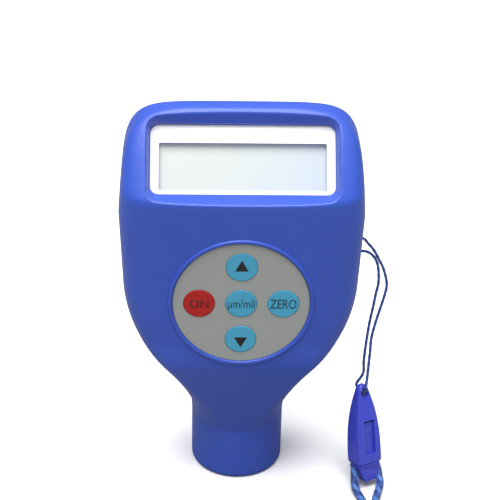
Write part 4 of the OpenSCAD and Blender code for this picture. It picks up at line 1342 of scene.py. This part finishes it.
@dataclass
class WristStrap:
    """Thin loop at the case and braided wrist cord wound into a coil, with the clip's frame between them.

    Attributes:
        loop_lay: Length of one turn of the loop's strands.
        braid_lay: Length over which the braid's pattern repeats.
        still_z: Height above which the loop was meant to stay with the case; not used.
        eye_lead: Distance above the eye from which the loop was meant to go with the clip; not used.
        tie_rings: Place across the tie and distance from the cord of each ring of the band.
    """

    foot: tuple[float, float, float] = (33.2, -13.6, 1.4)
    lean: float = 15.0
    roll: float = -4.3
    turn: float = 34.0
    eye_z: float = 23.9
    eye_t: float = 2.2
    still_z: float = 58.5
    eye_lead: float = 4.0
    loop_d: float = 0.8
    loop_lay: float = 3.6
    loop_relief: float = 0.06
    # Painted shade in the grooves between the loop's strands
    loop_shade: float = 0.35
    loop_spacing: float = 0.25
    loop_sides: int = 12
    braid_d: float = 2.1
    braid_lay: float = 4.4
    braid_relief: float = 0.08
    braid_shade: float = 0.55
    # Painted shade on the braid's threads that pass under
    under_shade: float = 0.45
    braid_spacing: float = 0.3
    braid_sides: int = 24
    knot_gap: float = 1.2
    strand_x: float = 3.35
    strand_top: float = 4.1
    coil: tuple[float, float] = (20.0, -43.0)
    coil_r: float = 14.6
    coil_gap: float = 2.3
    coil_in: float = 8.6
    coil_z: float = 1.2
    tie_sides: int = 40
    tie_rings: tuple[tuple[float, float], ...] = (
        (-1.5, 0.04), (-1.5, 0.12), (-1.3, 0.15), (1.3, 0.15), (1.5, 0.12), (1.5, 0.04))
    loop_route: tuple[tuple[float, float, float], ...] = (
        (27, 3, 63.5), (30.4, 3, 63.5), (32, 3.1, 61.8), (33.4, 2.8, 60.2), (35, 2, 57.5),
        (36.1, 1.4, 55.2), (36.9, 0.5, 52), (36.6, -0.3, 49.6), (35.6, -1.2, 46), (34.4, -2.4, 42),
        (33.5, -3.6, 38.2), (33.2, -5, 34.6), (32.9, -6.2, 31), (32.6, -7.4, 28))
    back_route: tuple[tuple[float, float, float], ...] = (
        (31.8, -5.2, 28.6), (31.8, -4.7, 32), (32.1, -4, 35.8), (32.5, -3, 39), (33, -2, 42.4),
        (33.7, -1.1, 46), (34.3, -0.1, 49.4), (34.8, 0.5, 51.8), (34.8, 1.2, 54.4), (34.4, 1.9, 56.8),
        (33.4, 2.4, 58.6), (32, 2.8, 59.6), (30.4, 3, 59.8), (27, 3, 59.8))
    left_route: tuple[tuple[float, float, float], ...] = (
        (30.1, -16.2, 2.6), (30.5, -18.6, 1.3), (31.4, -21.2, 1.1), (32.1, -24.4, 1.1),
        (32.3, -27.8, 1.1), (32.3, -32.1, 1.1))
    right_route: tuple[tuple[float, float, float], ...] = (
        (36.4, -12.5, 3.2), (36.8, -15, 1.55), (36.2, -18, 1.1), (35.2, -21.4, 1.1), (34.7, -25, 1.1),
        (34.6, -29.5, 1.1), (34.6, -35.2, 1.1))

    def in_clip(self, x: float, y: float, z: float) -> Points:
        """Carry a point from the clip's frame, across, back and up its axis, into the part's."""
        lean, roll, turn = (math.radians(angle) for angle in (-self.lean, self.roll, self.turn))
        stance = (Matrix.Rotation(roll, 3, "Y") @ Matrix.Rotation(lean, 3, "X")
                  @ Matrix.Rotation(turn, 3, "Z"))
        return np.array(self.foot) + np.array(stance @ Vector((x, y, z)))

    def loop_path(self) -> Points:
        """Centreline of the thin loop, from one eyelet through the clip's eye to the other."""
        out, half = self.eye_t / 2 + self.loop_d, self.eye_t / 2
        eye = [(-out, 1.9), (-out, 0.9), (-half, 0), (0, -0.3), (half, 0), (out, 0.9), (out, 1.9)]
        through = [tuple(self.in_clip(0, y, self.eye_z + z)) for y, z in eye]
        return smooth_path([*self.loop_route, *through, *self.back_route], 12)

    def spot(self, r: Points, a: Points) -> Points:
        """Points of the coil at radii and angles from its middle."""
        return np.column_stack([self.coil[0] + r * np.cos(a), self.coil[1] + r * np.sin(a),
                                np.full(len(a), self.coil_z)])

    def coil_path(self) -> Points:
        """Both strands of the wrist cord wound side by side, joined by a turn in the middle.

        Returns:
            The centreline, from where one strand reaches the coil to where the other leaves it.
        """
        pitch = 2 * self.coil_gap
        full = (self.coil_r - self.coil_in) / pitch * 2 * math.pi
        outer, inner = np.linspace(0, full, 80), np.linspace(math.pi, full, 48)
        first = self.spot(self.coil_r - pitch * inner / (2 * math.pi), -(inner - math.pi))
        last = self.spot(self.coil_r - pitch * outer / (2 * math.pi), -outer)[::-1]
        bend, swing = self.coil_in / 2, np.linspace(0, math.pi, 18)[1:-1]
        facing = -(full - math.pi)
        ahead = np.array([math.cos(facing), math.sin(facing)])
        aside = np.array([-ahead[1], ahead[0]])
        turn = [bend * ahead + bend * (math.cos(a) * ahead - math.sin(a) * aside) for a in swing]
        turn.append(np.zeros(2))
        turn += [-bend * ahead + bend * (math.cos(a) * ahead + math.sin(a) * aside) for a in swing]
        middle = np.column_stack([np.array(turn) + np.array(self.coil), np.full(len(turn), self.coil_z)])
        return np.vstack([first, middle, last])

    def build(self, top: bpy.types.Object, foot: bpy.types.Object) -> None:
        """Make both cords.

        Args:
            top: The clip's upper half, on the loop; not used.
            foot: The clip's lower half, on the braid; not used.
        """
        self.build_loop()
        self.build_braid()

    def twist(self, run: Points, angle: Points) -> tuple[Points, Points]:
        """Radius, and painted light and shade, of two strands laid round each other: lighter on each strand's
        crest, darker in the groove between them.
        """
        ply = np.cos(2 * (angle + 2 * math.pi * run / self.loop_lay))
        # The second value is painted light and shade: lighter on each strand's crest, darker in the groove
        return (self.loop_d / 2 * (1 - self.loop_relief + self.loop_relief * ply),
                1 - self.loop_shade + self.loop_shade * ply)

    def build_loop(self) -> None:
        """Make the thin loop, through the eye of the clip's upper half.
        """
        path = even_path(self.loop_path(), self.loop_spacing)
        loop = swept_cord("strap_cord", path, self.loop_sides, self.twist, self.loop_spacing)
        dress(loop, "loop_blue")
        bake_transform(loop)
        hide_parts("strap_loop")
        LOG.info("strap_cord is %.0f mm long", path_length(path))

    def tie(self) -> bpy.types.Object:
        """Band that holds the coil together at its far side.

        Returns:
            The band.
        """
        half, count = self.braid_d / 2, self.tie_sides
        near = self.coil_r - self.coil_gap + half
        far = self.coil_r - 2 * self.coil_gap - half
        flat = max((near - far) / 2 - half, 0)
        turn = np.radians(np.linspace(0, 360, count, endpoint=False))
        rings = []
        for y, grow in self.tie_rings:
            x = np.sign(np.cos(turn)) * flat + (half + grow) * np.cos(turn)
            z = (half + grow) * np.sin(turn)
            rings.append(np.column_stack([self.coil[0] - (near + far) / 2 + x,
                                          np.full(count, self.coil[1] + y), self.coil_z + z]))
        band = Solid.loft(rings, closed=True)
        return place(settle(band.thing("coil_tie"), CLIP_EDGE), "gauge", "lead_black")

    def plait(self, run: Points, angle: Points) -> tuple[Points, Points]:
        """Radius, and painted light and shade, of a braid whose threads cross over and under each other:
        lighter on the crests, darker in the hollows, and the threads of one direction darker as shade where
        they pass under.
        """
        wave = 2 * math.pi * run / self.braid_lay
        right, left = np.cos(2 * angle + wave), np.cos(2 * angle - wave)
        crest = np.maximum(right, left)
        # Threads of one direction are painted darker, as shade where they pass under
        crossing_shade = np.where(right > left, 1.0, self.under_shade)
        # The second value is painted light and shade: lighter on the crests, darker in the hollows
        return (self.braid_d / 2 * (1 - self.braid_relief + self.braid_relief * crest),
                crossing_shade * (1 - self.braid_shade + self.braid_shade * crest))

    def build_braid(self) -> None:
        """Make the braided wrist cord, from one side of the clip through its coil to the other.
        """
        left = [tuple(self.in_clip(-self.strand_x, 0, self.strand_top)), *self.left_route]
        right = [tuple(self.in_clip(self.strand_x, 0, self.strand_top)), *self.right_route]
        whole = np.vstack([smooth_path(left, 10), self.coil_path(), smooth_path(right, 10)[::-1]])
        path = even_path(smooth_path(even_path(whole, self.knot_gap), 6), self.braid_spacing)
        braid = swept_cord("wrist_braid", path, self.braid_sides, self.plait, self.braid_spacing)
        place(braid, "gauge", "braid_blue", "wrist_cord", "wrist_coil")
        self.tie()
        LOG.info("wrist_braid is %.0f mm long", path_length(path))


@dataclass
class ReleaseClip:
    """Two halves of the strap's release clip, in the clip's own frame.

    Attributes:
        ring_zones: First height, last height and number of the upper half's rings.
        body: Height, width and thickness of the upper half.
        collar: What the collar's rings lack of the clip's width and thickness, with their heights.
        block: The same for the block, whose width starts from its own.
        plate: Heights of the plates' rings, and what each adds to the plate's foot.
    """

    strap: WristStrap
    width: float = 7.2
    thick: float = 5.6
    corner: float = 0.75
    split: float = 5.0
    eye_d: float = 2.4
    tongue_w: float = 3.4
    tongue_out: float = 1.9
    tongue_in: float = 1.1
    tongue_top: float = 16.0
    tongue_root: float = 0.6
    window_z: tuple[float, float] = (7.5, 16.6)
    window_lip: float = 0.1
    play: float = 0.15
    block_w: float = 3.8
    plate_foot: float = 4.6
    plate_t: float = 1.25
    plate_in: float = 1.05
    plate_corner: float = 0.4
    socket_r: float = 1.09
    socket_play: float = 0.04
    ring_zones: tuple[tuple[float, float, int], ...] = ((5.0, 6.0, 7), (6.5, 23.0, 24), (23.4, 26.0, 12))
    body: tuple[tuple[float, float, float], ...] = (
        (5.0, 6.8, 5.2), (5.2, 7.1, 5.5), (5.6, 7.2, 5.6), (8.0, 7.2, 5.6), (11.0, 7.1, 5.55),
        (14.0, 6.8, 5.3), (17.0, 6.2, 4.85), (20.0, 5.25, 4.1), (22.0, 4.4, 3.35), (23.5, 3.7, 2.75),
        (24.8, 3.0, 2.3), (25.5, 2.4, 1.85), (25.9, 1.6, 1.3), (26.0, 1.0, 0.8))
    collar: tuple[tuple[float, float, float], ...] = (
        (1.3, 1.1, 3.8), (0.9, 0.7, 4.05), (0.8, 0.6, 4.7), (1.0, 0.8, 4.9))
    block: tuple[tuple[float, float, float], ...] = (
        (1.2, 2.8, 0.02), (0.6, 2.0, 0.3), (0.2, 1.5, 0.9), (0.0, 1.2, 4.3))
    plate: tuple[tuple[float, float], ...] = ((0.35, -0.9), (0.55, -0.35), (1.0, 0.0), (2.4, 1.1), (4.2, 2.0))

    def ring(self, width: float, thick: float, z: float, radius: float) -> Points:
        """Rounded rectangle across the clip.

        Args:
            width: Width of the rectangle.
            thick: Its thickness.
            z: Height along the clip's axis.
            radius: Corner radius, kept under half of either side.

        Returns:
            The ring's points in the clip's frame.
        """
        r = min(radius, 0.45 * thick, 0.45 * width)
        points = []
        for sx, sy, start in ((1, 1, 0), (-1, 1, 90), (-1, -1, 180), (1, -1, 270)):
            for turn in np.radians(start + np.linspace(0, 90, 7)):
                points.append((sx * (width / 2 - r) + r * math.cos(turn),
                               sy * (thick / 2 - r) + r * math.sin(turn), z))
        return np.array(points)

    def stand(self, solid: Solid) -> Solid:
        """Carry a solid from the clip's frame into the part's."""
        return Solid(np.array([self.strap.in_clip(*p) for p in solid.points]), solid.faces)

    def box(self, low: Sequence[float], high: Sequence[float]) -> Solid:
        """Box in the clip's frame, carried into the part's."""
        return self.stand(Solid.box(low, high))

    def stack(self, width: float, rows: Iterable[tuple[float, float, float]]) -> Solid:
        """Loft over rings that each lack some of a width and of the clip's thickness."""
        return self.stand(Solid.loft([self.ring(width - narrow, self.thick - thin, z, self.corner)
                                      for narrow, thin, z in rows]))

    def build(self) -> tuple[bpy.types.Object, bpy.types.Object]:
        """Make both halves.

        Returns:
            The upper and the lower half.
        """
        return self.build_upper(), self.build_lower()

    def build_upper(self) -> bpy.types.Object:
        """Make the upper half: a pointed shell with the tongue's slot, a window and the eye.

        Returns:
            The upper half.
        """
        level, wide, deep = np.array(self.body).T
        heights = np.concatenate([np.linspace(*zone) for zone in self.ring_zones])
        upper = self.stand(Solid.loft([
            self.ring(float(np.interp(z, level, wide)), float(np.interp(z, level, deep)), z, self.corner)
            for z in heights])).thing("clip_top")
        half, play = self.tongue_w / 2, self.play
        combine(upper, self.box((-half - play, -self.tongue_out - play, self.split - 1),
                                (half + play, self.tongue_in + play, self.tongue_top + play)), Way.CUT)
        combine(upper, self.box((-half + self.window_lip, -self.thick, self.window_z[0]),
                                (half - self.window_lip, 0, self.window_z[1])), Way.CUT)
        eye = Solid.turned([(self.eye_d / 2, -self.thick), (self.eye_d / 2, self.thick)],
                           (0, 0, self.strap.eye_z), (0, 1, 0), HOLE_SIDES)
        combine(upper, self.stand(eye), Way.CUT)
        return place(settle(upper, CLIP_EDGE), "clip_socket", "clip_blue", "clip_upper")

    def build_lower(self) -> bpy.types.Object:
        """Make the lower half: collar, tongue, block, and the plates that cover the strands.

        Returns:
            The lower half.
        """
        lower = self.stack(self.width, self.collar).thing("clip_foot")
        combine(lower, self.stack(self.block_w, self.block), Way.JOIN)
        for side in (-1, 1):
            shift = np.array([0, side * (self.thick / 2 - self.plate_in), 0])
            rings = [self.ring(self.plate_foot + wide, self.plate_t, z, self.plate_corner) + shift
                     for z, wide in self.plate]
            combine(lower, self.stand(Solid.loft(rings)), Way.JOIN)
        combine(lower, self.box((-self.tongue_w / 2, -self.tongue_out, self.split - self.tongue_root),
                                (self.tongue_w / 2, self.tongue_in, self.tongue_top)), Way.JOIN)
        end = self.strap.strand_top + self.socket_play
        sockets = [self.stand(Solid.turned([(self.socket_r, -1), (self.socket_r, end)], (x, 0, 0), (0, 0, 1),
                                           HOLE_SIDES)) for x in (-self.strap.strand_x, self.strap.strand_x)]
        combine(lower, Solid.merged(sockets), Way.CUT)
        return place(settle(lower, CLIP_EDGE), "gauge", "clip_blue", "clip_lower")


# Stage


@dataclass
class Studio:
    """Camera at the photograph's angle, pale floor and soft light."""

    azimuth: float = -2.035
    elevation: float = 30.308
    roll: float = 1.376
    distance_mm: float = 420.0
    target: tuple[float, float, float] = (2.406, 0.0, 61.633)
    focal_px: float = 1701.0
    frame_px: float = 500.0
    sensor_mm: float = 36.0
    clip_m: tuple[float, float] = (0.01, 20.0)
    floor_reach: float = 2000.0
    floor_drop: float = 0.02
    floor_roughness: float = 0.9
    floor_colour: str = "#ffffff"
    floor_bounce: str = "#909090"
    low_sky: float = 0.14
    high_sky: float = 0.7
    sky_top: float = 0.9
    lamp_level: float = 1.3
    lamp_spread: float = 50.0
    lamp_way: tuple[float, float, float] = (0.1, 0.16, -1.0)

    def build(self) -> None:
        """Set up camera, floor, lights and view settings."""
        self.camera()
        self.floor()
        self.lights()
        bpy.context.scene.view_settings.view_transform = "Standard"

    def camera(self) -> None:
        """Put the camera where the photograph was taken from."""
        a, e, r = (math.radians(x) for x in (self.azimuth, self.elevation, self.roll))
        back = Vector((math.sin(a) * math.cos(e), -math.cos(a) * math.cos(e), math.sin(e)))
        right = Vector((math.cos(a), math.sin(a), 0))
        up = back.cross(right)
        across = math.cos(r) * right + math.sin(r) * up
        above = math.cos(r) * up - math.sin(r) * right
        lens = bpy.data.cameras.new("camera")
        lens.sensor_width = self.sensor_mm
        lens.lens = self.focal_px * self.sensor_mm / self.frame_px
        lens.clip_start, lens.clip_end = self.clip_m
        eye = bpy.data.objects.new("camera", lens)
        spot = (Vector(self.target) + self.distance_mm * back) * MM
        eye.matrix_world = Matrix.Translation(spot) @ Matrix((across, above, back)).transposed().to_4x4()
        bpy.context.scene.collection.objects.link(eye)
        bpy.context.scene.camera = eye

    def floor(self) -> None:
        """Lay a floor that is white to the camera, keeps the shadow and throws back less light."""
        far = self.floor_reach
        corners = np.array([[-far, -far, 0], [far, -far, 0], [far, far, 0], [-far, far, 0]])
        ground = settle(Solid(corners, [(0, 1, 2, 3)]).thing("floor"))
        ground.location.z = -self.floor_drop * MM
        paper = bpy.data.materials.new("floor_paper")
        paper.use_nodes = True
        tree = paper.node_tree
        seen = add_node(tree, "ShaderNodeLightPath").outputs["Is Camera Ray"]
        colour = add_node(tree, "ShaderNodeMix", {MIX_SHARE: seen, MIX_FIRST: linear(self.floor_bounce),
                                                  MIX_SECOND: linear(self.floor_colour)}, data_type="RGBA")
        shader = tree.nodes["Principled BSDF"]
        tree.links.new(colour.outputs[MIX_RESULT], shader.inputs["Base Color"])
        shader.inputs["Roughness"].default_value = self.floor_roughness
        ground.data.materials.append(paper)

    def lights(self) -> None:
        """Light the room from above, as a wide soft box in a pale ceiling does."""
        world = bpy.data.worlds.new("room")
        bpy.context.scene.world = world
        world.use_nodes = True
        tree = world.node_tree
        sky = tree.nodes["Background"]
        ray = add_node(tree, "ShaderNodeTexCoord").outputs["Generated"]
        way = add_node(tree, "ShaderNodeSeparateXYZ", {"Vector": ray})
        level = add_node(tree, "ShaderNodeMapRange", {"Value": way.outputs["Z"], "From Max": self.sky_top,
                                                      "To Min": self.low_sky, "To Max": self.high_sky})
        seen = add_node(tree, "ShaderNodeLightPath").outputs["Is Camera Ray"]
        shown = add_node(tree, "ShaderNodeMix", {MIX_SHARE: seen, MIX_LOW: level.outputs[0], MIX_HIGH: 1.0})
        tree.links.new(shown.outputs[0], sky.inputs["Strength"])
        sky.inputs["Color"].default_value = linear("#ffffff")
        lamp = bpy.data.lights.new("overhead", "SUN")
        lamp.angle = math.radians(self.lamp_spread)
        lamp.energy = self.lamp_level * math.pi
        hung = bpy.data.objects.new("overhead", lamp)
        hung.rotation_euler = Vector(self.lamp_way).to_track_quat("-Z", "Y").to_euler()
        bpy.context.scene.collection.objects.link(hung)


def dress_nodes() -> None:
    """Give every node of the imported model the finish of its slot."""
    for part in frame["record"]["subparts"]:
        node = frame["nodes"][part["node"]]
        dress(node, part["material_slot"])
        LOG.info("%s takes %s", part["node"], part["material_slot"])


def main() -> None:
    """Build the studio, the strap, the case, the spring and the legends."""
    logging.basicConfig(level=logging.INFO, format="%(name)s: %(message)s")
    Studio().build()
    strap = WristStrap()
    strap.build(*ReleaseClip(strap).build())
    dress_nodes()
    form = CaseForm()
    FrontCase(form, DisplayRecess(form)).build()
    RearCase(form).build()
    ProbeSpring().build()
    Legends().build()


if __name__ == "__main__":
    main()
